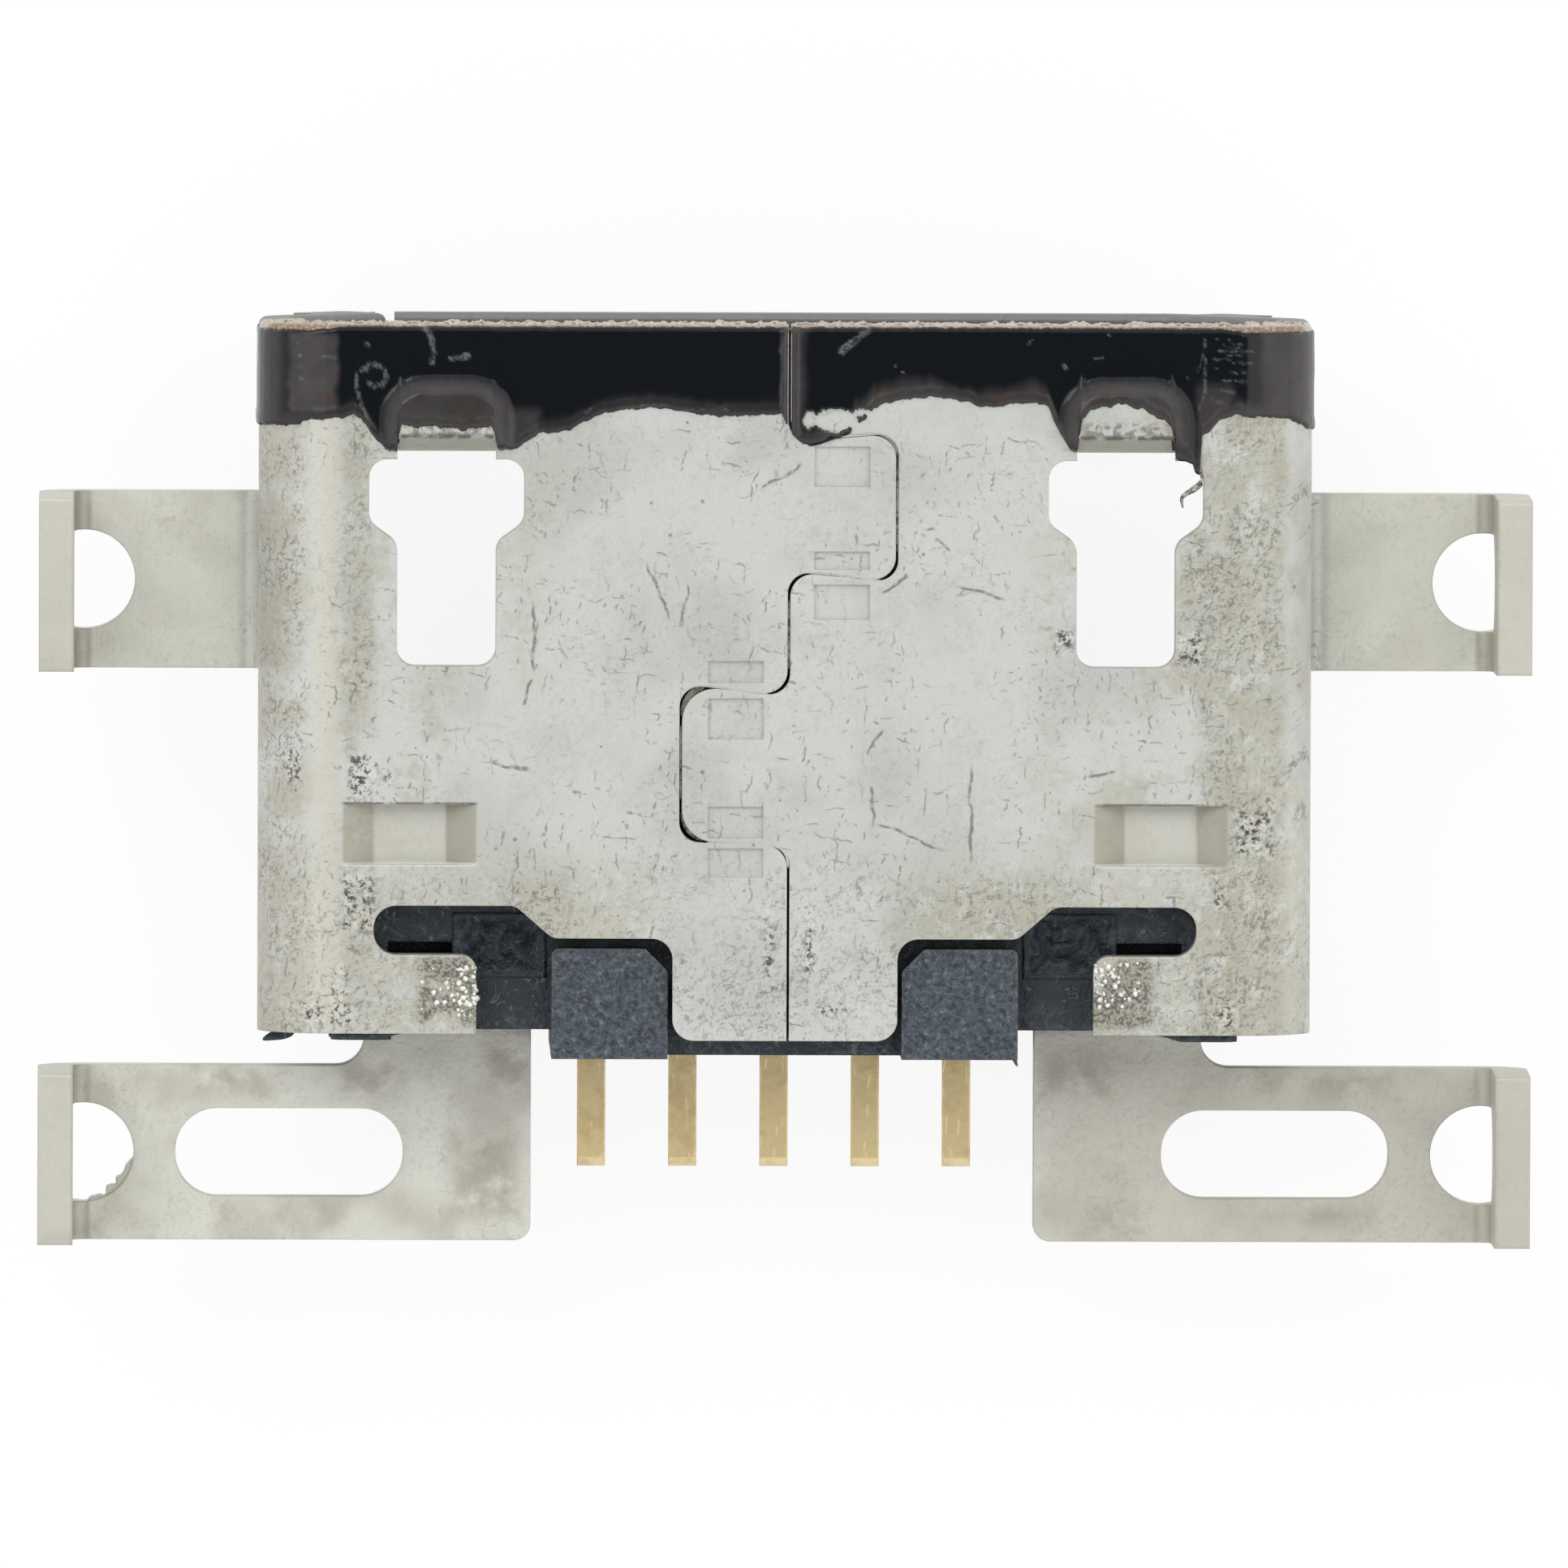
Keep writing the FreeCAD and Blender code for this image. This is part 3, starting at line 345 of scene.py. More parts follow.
def shellMaterial():
    look, at = shellLook, shellAt
    material, shader, place = newMaterial("shell metal")
    across, forward, up = split(place)
    depth, outward = minus(mouthY, forward), absolute(across)
    seen = join(across, depth, 0.0)
    flat = join(plus(across, times(up, 0.61)), plus(forward, times(up, 0.43)), 0.0)     # runs on around the folds

    def patch(name):
        sideways, behind = at[name]
        return times(between(outward, *sideways), between(depth, *behind))

    fine, grain = noise(place, 8.0, 3, 0.65), noise(place, 42.0, 2, 0.7)
    patches = noise(place, 2.3, 3, 0.6)
    paint = Paint(look, "steel", "steelDark", slope(noise(place, 0.9, 3, 0.6), 0.42, 0.68))
    paint.lay("steelDark", slope(fine, 0.5, 0.75), 0.3)

    # the tube: a cream band beside the left rounding, duller columns, warmer towards the rear, and a painted highlight
    # along the right rounding's outer edge
    tube = times(slope(up, 1.5, 1.9), slope(outward, 3.8, 3.76))
    leftSide = slope(across, 0.5, -0.5)
    rightColumn = between(across, *at["column"])
    column = times(tube, most(times(leftSide, slope(outward, 3.33, 3.5)), rightColumn))
    crease = times(tube, between(outward, *at["crease"]))
    rearWarm = times(slope(depth, 3.5, 4.3), slope(outward, 0.7, 1.2), slope(depth, 5.1, 5.0))
    warm = most(times(slope(patches, 0.5, 0.62), slope(outward, 1.2, 2.6)), rearWarm)
    paint.lay("warm", warm, tube, slope(fine, 0.36, 0.5), 0.75)
    paint.lay("cream", tube, between(outward, *at["band"]), leftSide, 0.85)
    # painted highlight that lightens the shaded outer edge of the right rounding
    paint.lay("shine", tube, slope(across, 3.52, 3.6), 0.15)
    paint.lay("edge", column, slope(patches, 0.35, 0.6))

    # the wings: stained, with painted shade where they are bent and where they leave the tube
    sideWing = times(slope(up, 1.75, 1.45), slope(outward, 3.76, 3.9))
    wingAny = most(sideWing, slope(outward, 4.9, 5.02), slope(depth, 5.06, 5.14))
    paint.lay("wing", wingAny)
    rearWing = slope(depth, 5.1, 5.3)
    paint.lay("stain", slope(noise(place, 1.5, 2, 0.5), 0.42, 0.68), mixValue(rearWing, 0.45, 1.0), wingAny)
    # painted shade: a darker strip in the concave bends of the legs and at the wings' roots under the tube
    bendShade = times(between(outward, *at["bend"]), slope(up, 1.2, 1.3))
    rootShade = times(wingAny, between(outward, *at["root"]), slope(depth, 4.0, 3.0))
    paint.lay("bend", most(bendShade, rootShade), 0.75)

    # the pressed bridges: painted shade on the ramps at both ends of a clean floor, a painted shadow along the upper
    # sheared edge and a painted highlight on the lower lip
    bridge = patch("bridge")
    fromMiddle = absolute(minus(outward, at["bridgeMiddle"]))
    shadedRamp = times(bridge, slope(fromMiddle, at["rampFrom"], at["rampTo"]))
    paint.lay("bend", shadedRamp, 0.9)
    paint.lay("cream", bridge, minus(1.0, shadedRamp), 0.6)
    # painted shadow of the upper slit, and a painted highlight on the lower edge's visible wall
    paint.lay("scuff", patch("shearShadow"), tube, slope(fine, 0.3, 0.5))
    paint.lay("shine", patch("lip"), tube, 0.8)

    # worked and aged metal with a mottled grain, and a faint relief made of painted shade and painted highlights
    rear = slope(depth, 3.2, 4.5)
    worked = anyZone(seen, look["worked"], 0.12)
    busy = most(times(most(column, crease, times(rear, 0.75), worked), tube), 0.22)
    paint.lay("dull", worked, tube, slope(fine, 0.3, 0.55), 0.65)
    # the right column duller: aged mottling, and painted shade that tones down the highlight on the right rounding
    agedShadedColumn = times(rightColumn, slope(fine, 0.32, 0.56), 0.5)
    paint.lay("dull", most(agedShadedColumn, times(crease, slope(patches, 0.35, 0.6), 0.5)), tube)
    paint.lay("edge", rearWing, slope(across, 1.5, 2.2), 0.6)
    speckle = noise(place, 13.0, 4, 0.7, 0.5)
    lower = noise(vectorCalc("ADD", place, (0.013, -0.011, 0.0)), 13.0, 4, 0.7, 0.5)
    reliefShade = minus(speckle, lower)
    patchy = slope(noise(place, 1.7, 2, 0.6), 0.34, 0.62)
    reliefShadeAndSpecks = times(busy, mixValue(patchy, 0.35, 1.0), minus(1.0, times(bridge, 0.8)))
    # painted shade on one side of each speckle and a painted highlight on the other, as if it were raised
    paint.lay("scuff", slope(reliefShade, 0.03, 0.12), reliefShadeAndSpecks, 0.4)
    paint.lay("shine", slope(reliefShade, -0.03, -0.12), reliefShadeAndSpecks, 0.2)
    paint.lay("scuff", slope(speckle, 0.56, 0.68), reliefShadeAndSpecks, patchy, 0.5)
    grit = noise(place, 21.0, 3, 0.75)
    paint.lay("scuff", slope(grit, 0.55, 0.6), busy, mixValue(patchy, 0.3, 1.0), minus(1.0, bridge), 0.65)

    # scratches: single ones, and crooked short ones in two directions with tiny ones among them
    crooked = vectorCalc("ADD", seen, drift(place, 7.0, 0.07))
    single = 0.0
    for x0, depth0, x1, depth1 in look["scratches"]:
        run, middle = Vector((x1 - x0, depth1 - depth0, 0)), Vector((x0 + x1, depth0 + depth1, 0)) / 2
        ahead = run.normalized()
        aside = Vector((-ahead.y, ahead.x, 0))
        single = most(single, maskOf(scratch, Place=crooked, Ahead=ahead, Aside=aside, AheadAt=middle.dot(ahead),
                                     AsideAt=middle.dot(aside), Half=run.length / 2, Width=0.017))
    down = maskOf(strokes, Place=flat, Turn=1.57, Cell=0.21, Length=0.30, Width=0.011, Spread=0.55, Cover=0.7,
                  Waver=0.10)
    level = maskOf(strokes, Place=vectorCalc("ADD", flat, (5.3, 2.9, 0.0)), Turn=0.0, Cell=0.19, Length=0.2,
                   Width=0.010, Spread=0.5, Cover=0.55, Waver=0.09)
    tiny = maskOf(strokes, Place=vectorCalc("ADD", flat, (3.1, 4.7, 0.0)), Turn=0.6, Cell=0.07, Length=0.07,
                  Width=0.010, Spread=3.0, Cover=0.35, Waver=0.05)
    gathered = most(slope(noise(place, 1.3, 2, 0.6), 0.36, 0.52), times(busy, 0.5))
    broken = slope(noise(place, 18.0, 2, 0.7), 0.38, 0.52)
    lines = times(most(down, level, times(tiny, 0.9)), gathered, broken, 0.88)
    lines = most(lines, times(single, mixValue(broken, 0.45, 1.0), tube))
    clean = minus(1.0, most(times(wingAny, 0.85), times(bridge, 0.85)))
    paint.lay("scratch", lines, clean, 0.8)

    # dark pits, and patches crowded with dark dots and glints
    paint.lay("pit", maskOf(pits, Place=place, Cell=0.12, Size=0.018, Cover=0.12), clean, 0.6)
    crowd = most(anyZone(seen, look["speckled"], 0.035), times(crease, slope(patches, 0.5, 0.6), 0.12))
    paint.lay("speck", slope(grit, 0.5, 0.56), crowd, tube, slope(noise(place, 9.0, 2), 0.36, 0.5), 0.85)
    paint.lay("shine", slope(grit, 0.46, 0.4), crowd, tube, 0.5)

    # soiled patches and duller legs of the wings
    soiled = anyZone(seen, look["soiled"], 0.11)
    paint.lay("soil", soiled, wingAny, slope(noise(place, 3.6, 3, 0.6), 0.34, 0.62), 0.62)
    paint.lay("stain", slope(outward, 5.04, 5.1), 0.7)

    # edges with wear and painted shade, and a painted highlight towards the rear; the hoods over the latch windows
    edgeWearAndShade = maskOf(edges, beside=shader, Reach=0.00003)
    # edge wear and painted shade on sheared edges in front, a painted highlight on them towards the rear
    paint.lay(mixColor(times(rear, tube), paint.tint("bend"), paint.tint("shine")), edgeWearAndShade, 0.3)
    paint.lay("scuff", patch("crest"), tube, slope(fine, 0.38, 0.55))
    # painted shade on the hoods' rear slopes
    paint.lay("bend", patch("hoodBack"), tube, 0.7)
    paint.lay("pit", patch("hoodFront"), tube, slope(speckle, 0.44, 0.56), 0.6)

    # rough metal at the inner ends of the rear flaps
    pebbled = times(patch("pebbled"), tube, slope(patches, 0.36, 0.46))
    paint.lay("soil", pebbled, 0.75)
    paint.lay("pit", pebbled, slope(grain, 0.46, 0.56), 0.8)

    # bare sheared rim, the brown line where the coat starts, and painted shade inside the mouth, darker deeper in
    rim = times(slope(depth, 0.06, 0.03), slope(up, 1.9, 2.1))
    paint.lay("rim", rim, 0.9)
    paint.lay("fringe", between(depth, 0.006, 0.07, 0.01), slope(up, 2.05, 2.15), slope(grain, 0.3, 0.5), 0.7)
    mouth = most(times(slope(depth, 0.2, 0.1), slope(up, 0.5, 0.35)),
                 times(slope(depth, 0.12, 0.08), slope(up, 1.7, 1.5)))
    # painted shade: grey near the rim, going dark further inside
    depthShade = mixColor(slope(depth, 0.03, 0.09), paint.tint("inside"), paint.tint("deep"))
    paint.lay(depthShade, mouth, 0.85)

    rough = plus(look["roughness"], times(minus(fine, 0.5), 0.25), times(rightColumn, tube, 0.2), times(shadedRamp, 0.15))
    fill(shader, {"Base Color": paint.color, "Metallic": look["metallic"], "Roughness": rough})
    height = minus(plus(times(grain, 0.002), times(fine, 0.004)), times(speckle, 0.0035))
    bumpFrom(shader, plus(height, times(rim, grain, 0.02)), look["softEdge"])
    return material


housingLook = {
    "black": (20, 29, 37), "sheen": (60, 69, 77), "block": (66, 75, 84), "blockDark": (30, 37, 44),
    "blockEdge": (104, 111, 116), "dust": (122, 126, 126), "lit": (92, 103, 112), "roughness": 0.5, "softEdge": 0.025,
    # stretches beside the blocks darkened by painted shade, and the sinks in them, as (middle across, middle depth,
    # half width, half height)
    "deep": [(-1.93, 4.47, 0.46, 0.42), (1.95, 4.47, 0.46, 0.42)],
    "sunk": [(-2.04, 4.42, 0.31, 0.20), (2.04, 4.42, 0.31, 0.20)],
}


def housingMaterial():
    look = housingLook
    material, shader, place = newMaterial("black moulding")
    across, forward, up = split(place)
    block = slope(up, housingHigh.z - 0.14, housingHigh.z - 0.08)
    coarse, fine = noise(place, 12.0, 4, 0.75), noise(place, 36.0, 2, 0.7)
    swirl = noise(place, 5.0, 4, 0.75, 2.2)
    paint = Paint(look, "black", "sheen", slope(swirl, 0.44, 0.66))
    seen = join(across, minus(mouthY, forward), 0.0)
    # painted shade around the sunk parts, with ragged edges; the sink floors get painted light
    paint.lay("black", anyZone(vectorCalc("ADD", seen, drift(place, 4.0, 0.5)), look["deep"], 0.14), 0.9)
    paint.lay("lit", anyZone(seen, look["sunk"], 0.03), slope(swirl, 0.46, 0.62), 0.3)
    grit = noise(place, 21.0, 3, 0.8, 0.4)
    blockPaint = Paint(look, "blockDark", "block", slope(grit, 0.36, 0.56))
    blockPaint.lay("blockEdge", slope(grit, 0.57, 0.68))
    paint.lay(blockPaint.color, block)
    paint.lay("blockEdge", maskOf(edges, beside=shader, Reach=0.00005), block, 0.5)
    flecks = maskOf(scuffs, Place=place, Scale=9.0, Width=0.03, Cover=0.55)
    dust = maskOf(pits, Place=place, Cell=0.09, Size=0.015, Cover=0.22)
    paint.lay("dust", most(dust, flecks), 0.4)
    rough = calc("ADD", look["roughness"], times(minus(swirl, 0.5), 0.9), clamp=True)
    fill(shader, {"Base Color": paint.color, "Roughness": rough})
    height = plus(times(coarse, mixValue(block, 0.03, 0.05)), times(fine, mixValue(block, 0.004, 0.008)))
    bumpFrom(shader, height, look["softEdge"])
    return material


contactLook = {"gold": (224, 203, 154), "dull": (200, 178, 132), "tin": (196, 192, 178), "metallic": 0.55,
               "roughness": 0.36, "softEdge": 0.02}


def contactMaterial():
    look = contactLook
    material, shader, place = newMaterial("contact plating")
    cloudy = noise(place, 5.0, 3, 0.65)
    paint = Paint(look, "gold", "dull", slope(cloudy, 0.42, 0.68))
    lines = maskOf(strokes, Place=place, Turn=1.57, Cell=0.12, Length=0.3, Width=0.008, Spread=0.3, Cover=0.5)
    paint.lay("dull", lines, 0.35)
    paint.lay("tin", slope(split(place)[1], tailLow.y + 0.05, tailLow.y + 0.01), 0.25)
    rough = plus(look["roughness"], times(minus(cloudy, 0.5), 0.3))
    fill(shader, {"Base Color": paint.color, "Metallic": look["metallic"], "Roughness": rough})
    bumpFrom(shader, minus(times(cloudy, 0.006), times(lines, 0.002)), look["softEdge"])
    return material


lacquerLook = {"black": (8, 12, 17), "thin": (64, 61, 61), "brown": (74, 62, 56), "mark": (110, 113, 113),
               "roughness": 0.13, "gloss": 0.32, "softEdge": 0.01}


def lacquerMaterial():
    # "thin" and "mark" are stored on the coat's points where it is built
    look = lacquerLook
    material, shader, place = newMaterial("black lacquer")
    thin, mark = [build(shader, "ShaderNodeAttribute", attribute_name=name).outputs["Fac"] for name in ("thin", "mark")]
    thin = times(thin, mixValue(slope(noise(place, 4.5, 3, 0.6), 0.3, 0.65), 0.7, 1.0))
    dust = maskOf(pits, Place=place, Cell=0.17, Size=0.012, Cover=0.14)
    mark = times(mark, mixValue(slope(noise(place, 24.0, 3, 0.7), 0.42, 0.58), 0.2, 1.0))
    mark = most(mark, times(dust, 0.8))
    tint = Paint(look, "thin", "brown", slope(noise(place, 7.0, 3, 0.7), 0.5, 0.7)).color
    paint = Paint(look, "black", tint, thin)
    paint.lay("mark", mark)
    rough = plus(look["roughness"], times(most(mark, times(thin, 0.5)), 0.4))
    fill(shader, {"Base Color": paint.color, "Specular IOR Level": look["gloss"], "Roughness": rough})
    bumpFrom(shader, plus(times(noise(place, 1.8, 1), 0.006), times(mark, 0.006)), look["softEdge"])
    return material


tornLooks = {
    "torn metal": {"bright": (198, 191, 176), "dark": (128, 119, 106), "from": 0.48, "metallic": 0.45, "rough": 0.38},
    "pressed metal": {"bright": (178, 179, 173), "dark": (150, 150, 142), "from": 0.5, "metallic": 0.42, "rough": 0.5},
    "beaded metal": {"bright": (226, 226, 219), "dark": (92, 92, 87), "from": 0.52, "metallic": 0.5, "rough": 0.3},
    "curled metal": {"bright": (170, 170, 158), "dark": (84, 84, 74), "from": 0.46, "metallic": 0.4, "rough": 0.45},
}


def tornMaterial(name):
    look = tornLooks[name]
    material, shader, place = newMaterial(name)
    grain = noise(place, 26.0, 3, 0.75)
    paint = Paint(look, "bright", "dark", slope(grain, look["from"], look["from"] + 0.14))
    rough = plus(look["rough"], times(grain, 0.2))
    fill(shader, {"Base Color": paint.color, "Metallic": look["metallic"], "Roughness": rough})
    bumpFrom(shader, times(grain, 0.012), 0.006)
    return material


materials = {"shell": shellMaterial(), "housing": housingMaterial(), "contact": contactMaterial(),
             "lacquer": lacquerMaterial(), "burr": tornMaterial("torn metal"), "pressed": tornMaterial("pressed metal"),
             "curl": tornMaterial("curled metal"), "bead": tornMaterial("beaded metal")}
print("materials made:", ", ".join(materials))

weldWithin = 0.0000005      # metres
smoothBelow = 28            # degrees


def dress(node, material):
    # the solid keeps its mesh: welded and smoothed by modifiers only
    thing = nodes[node]
    if not thing.material_slots:
        thing.data.materials.append(material)
    for slot in thing.material_slots:
        slot.material = material
    weld = thing.modifiers.new("weld", "WELD")
    weld.merge_threshold = weldWithin
    thing.modifiers.new("smooth", "NODES").node_group = smoothTree
    flat = thing.modifiers.new("flat faces", "WEIGHTED_NORMAL")
    flat.keep_sharp = True
    flat.weight = 100


def smoothByAngle(limit):
    tree = bpy.data.node_groups.new("smooth by angle", "GeometryNodeTree")
    for way in ("INPUT", "OUTPUT"):
        tree.interface.new_socket("Geometry", in_out=way, socket_type="NodeSocketGeometry")
    given, result = tree.nodes.new("NodeGroupInput"), tree.nodes.new("NodeGroupOutput")
    faces = build(given, "GeometryNodeSetShadeSmooth", {"Geometry": given.outputs[0]})
    angle = build(given, "GeometryNodeInputMeshEdgeAngle").outputs["Unsigned Angle"]
    wide = build(given, "FunctionNodeCompare", {"A": angle, "B": limit}, operation="GREATER_THAN")
    sharp = build(given, "GeometryNodeSetShadeSmooth", {"Geometry": faces.outputs[0], "Selection": wide.outputs[0],
                                                        "Shade Smooth": False}, domain="EDGE")
    put(result.inputs[0], sharp.outputs[0])
    return tree


smoothTree = smoothByAngle(math.radians(smoothBelow))
for node in nodes:
    dress(node, materials["contact" if node.startswith("contact") else node])
print("solids dressed:", len(nodes))


def surfaceOf(node):
    # a solid's faces, in millimetres, to find places on
    mesh = nodes[node].data
    return BVHTree.FromPolygons([corner.co / mm for corner in mesh.vertices],
                                [face.vertices[:] for face in mesh.polygons])


skin, mould = surfaceOf("shell"), surfaceOf("housing")
wall = {"flatHalf": 3.19, "bend": 0.55}      # the seam wall's flat half width, and the radius that it is rounded by


def outlineAt(along):
    # a place on the tube's section and its outward direction, by the distance along the wall from the middle
    side = 1 if along >= 0 else -1
    beyond = abs(along) - wall["flatHalf"]
    angle = min(max(beyond / wall["bend"], 0), math.pi / 2)
    across, up = math.sin(angle), math.cos(angle)
    x = min(abs(along), wall["flatHalf"]) + wall["bend"] * across
    z = wallZ - wall["bend"] * (1 - up) - max(beyond - wall["bend"] * math.pi / 2, 0)
    return Vector((side * x, 0, z)), Vector((side * across, 0, up))


# where the shell's skin is looked for, in millimetres over its section
search = {"from": 0.4, "reach": 0.62, "deepest": -0.06}


def onSkin(along, depth):
    # the shell's surface under a place of the section
    base, out = outlineAt(along)
    base.y = mouthY - depth
    hit = skin.ray_cast(base + out * search["from"], -out, search["reach"])[0]
    distance = (hit - base).dot(out) if hit else 0
    return base + out * max(distance, search["deepest"])


def addPiece(name, mesh, material):
    piece = bpy.data.objects.new(name, mesh)
    scene.collection.objects.link(piece)
    mesh.materials.clear()
    mesh.materials.append(material)
    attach(piece, "root")
    return piece


def meshFrom(name, points, faces, smooth=True):
    mesh = bpy.data.meshes.new(name)
    mesh.from_pydata([point * mm for point in points], [], faces)
    if smooth:
        mesh.shade_smooth()
    return mesh


def thicken(piece, thick):
    # gives an open sheet its thickness, below the face that shows
    solid = piece.modifiers.new("thickness", "SOLIDIFY")
    solid.thickness = thick * mm
    solid.offset = -1


def outwards(mesh):
    shape = bmesh.new()
    shape.from_mesh(mesh)
    bmesh.ops.remove_doubles(shape, verts=shape.verts, dist=1e-8)
    bmesh.ops.recalc_face_normals(shape, faces=shape.faces)
    shape.to_mesh(mesh)
    shape.free()


# the dipped coat: its lower edge is (place across the port, depth behind the rim), in millimetres
coat = {
    "thick": 0.016, "lip": 0.006, "sideReach": 4.72, "rows": 46, "step": 0.017, "fineStep": 0.009, "seamAt": 0.02,
    "solid": 0.03, "markReach": 3.75,
    "edge": [
        (-3.74, 0.73), (-3.56, 0.73), (-3.39, 0.69), (-3.07, 0.65), (-3.02, 0.66), (-2.95, 0.79), (-2.82, 0.90),
        (-2.765, 0.905), (-2.74, 0.72), (-2.56, 0.72), (-2.30, 0.745), (-2.09, 0.72), (-2.05, 0.90), (-1.89, 0.865),
        (-1.74, 0.77), (-1.58, 0.77), (-1.38, 0.655), (-1.15, 0.60), (-0.89, 0.595), (-0.53, 0.645), (-0.30, 0.65),
        (-0.04, 0.63), (0.02, 0.74), (0.09, 0.83), (0.18, 0.86), (0.29, 0.815), (0.37, 0.79), (0.45, 0.768),
        (0.475, 0.70), (0.50, 0.70), (0.53, 0.705), (0.56, 0.665), (0.585, 0.62), (0.61, 0.59), (0.65, 0.57),
        (0.80, 0.53), (1.03, 0.505), (1.19, 0.53), (1.34, 0.565), (1.50, 0.58), (1.60, 0.555), (1.85, 0.55),
        (1.91, 0.72), (1.99, 0.86), (2.06, 0.90), (2.09, 0.66), (2.19, 0.58), (2.34, 0.55), (2.52, 0.59), (2.68, 0.665),
        (2.735, 0.72), (2.75, 0.93), (2.79, 0.965), (2.88, 0.985), (2.90, 1.05), (2.93, 1.04), (2.94, 0.77),
        (3.0, 0.75), (3.05, 0.70), (3.09, 0.66), (3.19, 0.63), (3.55, 0.66), (3.74, 0.75),
    ],
    # bare patches in the coat: middle across, depth, half width, half height
    "bare": [(0.348, 0.682, 0.150, 0.090), (0.163, 0.668, 0.050, 0.062), (0.54, 0.622, 0.07, 0.028)],
    # pale marks: half width, strength, and the line they follow
    "marks": [
        (0.013, 0.6, [(-2.965, 0.42), (-2.93, 0.443), (-2.87, 0.43), (-2.842, 0.385), (-2.852, 0.325), (-2.906, 0.287),
                      (-2.96, 0.296), (-3.02, 0.335)]),
        (0.011, 0.5, [(-3.055, 0.35), (-3.048, 0.47), (-3.012, 0.59), (-2.96, 0.70)]),
        (0.022, 0.5, [(-2.70, -0.01), (-2.62, 0.0), (-2.57, 0.03)]),
        (0.017, 0.6, [(-2.575, 0.02), (-2.535, 0.06), (-2.52, 0.12)]),
        (0.013, 0.65, [(-2.52, 0.12), (-2.505, 0.203), (-2.52, 0.279)]),
        (0.012, 0.75, [(-2.39, 0.245), (-2.31, 0.230), (-2.26, 0.217)]), (0.009, 0.5, [(-2.30, 0.25), (-2.26, 0.245)]),
        (0.012, 0.45, [(-3.456, 0.144), (-3.45, 0.145)]), (0.012, 0.5, [(-3.45, 0.23), (-3.44, 0.235)]),
        (0.012, 0.4, [(-3.45, 0.31), (-3.445, 0.31)]), (0.013, 0.4, [(-3.44, 0.39), (-3.43, 0.40)]),
        (0.008, 0.35, [(-3.30, 0.235), (-3.20, 0.24)]), (0.016, 0.45, [(-2.98, 0.142), (-2.975, 0.146)]),
        (0.024, 0.7, [(0.385, 0.185), (0.43, 0.15), (0.455, 0.13)]),
        (0.02, 0.4, [(0.455, 0.13), (0.53, 0.07), (0.585, 0.03)]),
        (0.011, 0.9, [(1.955, 0.292), (1.972, 0.288)]), (0.009, 0.8, [(2.286, 0.068), (2.29, 0.066)]),
        (0.007, 0.5, [(2.18, 0.235), (2.23, 0.225)]), (0.008, 0.7, [(0.813, 0.332), (0.816, 0.334)]),
        (0.006, 0.4, [(0.765, 0.285), (0.775, 0.295)]), (0.006, 0.35, [(1.70, 0.14), (1.735, 0.10)]),
        (0.010, 0.45, [(2.842, 0.378), (2.85, 0.38)]), (0.008, 0.45, [(2.905, 0.31), (2.93, 0.30)]),
        (0.007, 0.4, [(2.965, 0.10), (2.95, 0.20), (2.972, 0.28), (2.955, 0.36), (2.968, 0.44), (2.94, 0.52),
                      (2.93, 0.60)]),
        (0.004, 0.35, [(3.10, 0.13), (3.22, 0.128)]), (0.005, 0.4, [(3.05, 0.175), (3.31, 0.18)]),
        (0.004, 0.3, [(3.12, 0.205), (3.27, 0.202)]), (0.005, 0.45, [(3.02, 0.238), (3.14, 0.236)]),
        (0.004, 0.35, [(3.16, 0.262), (3.32, 0.258)]), (0.005, 0.4, [(3.14, 0.33), (3.24, 0.33)]),
        (0.004, 0.3, [(3.02, 0.30), (3.10, 0.295)]), (0.004, 0.35, [(3.10, 0.385), (3.26, 0.39)]),
        (0.004, 0.3, [(3.06, 0.155), (3.20, 0.152)]), (0.012, 0.25, [(3.06, 0.45), (3.16, 0.47)]),
        (0.004, 0.3, [(3.03, 0.09), (3.14, 0.10)]), (0.02, 0.2, [(3.02, 0.52), (3.10, 0.55)]),
        (0.010, 0.3, [(-1.18, 0.60), (-1.0, 0.572), (-0.85, 0.57)]), (0.006, 0.3, [(-0.72, 0.605), (-0.42, 0.60)]),
        (0.006, 0.4, [(-1.42, 0.625), (-1.38, 0.60)]),
    ],
}


def ease(value, low, high):
    share = min(max((value - low) / (high - low), 0), 1)
    return share * share * (3 - 2 * share)


def within(value, start, full, fall, end):
    # 1 from full to fall, easing out to 0 at start and end
    return ease(value, start, full) * (1 - ease(value, fall, end))


def ripple(x, y, scale, seed=0.0):
    return waves.fractal(Vector((x * scale, y * scale, seed)), 0.6, 2.0, 3)


def coatLowerEdge(along):
    x = min(max(outlineAt(along)[0].x, coat["edge"][0][0]), coat["edge"][-1][0])
    for (x0, depth0), (x1, depth1) in zip(coat["edge"], coat["edge"][1:]):
        if x <= x1:
            depth = depth0 + (depth1 - depth0) * (x - x0) / (x1 - x0)
            break
    return depth + 0.022 * ripple(along, 0, 9.0, 3.0) + 0.008 * ripple(along, 0, 40.0, 5.0)


def coatUpperEdge(along):
    corner = ease(-along, 3.1, 3.4) + ease(along, 3.05, 3.3)
    return 0.016 + 0.034 * corner + 0.010 * ripple(along, 1.0, 11.0, 7.0) + 0.006 * ripple(along, 2.0, 45.0, 9.0)


def lineDistance(x, y, points):
    place, nearest = Vector((x, y)), 9.0
    for start, end in zip(points, points[1:]):
        start, end = Vector(start), Vector(end)
        run = end - start
        share = min(max((place - start).dot(run) / run.length_squared, 0), 1)
        nearest = min(nearest, (place - start - run * share).length)
    return nearest


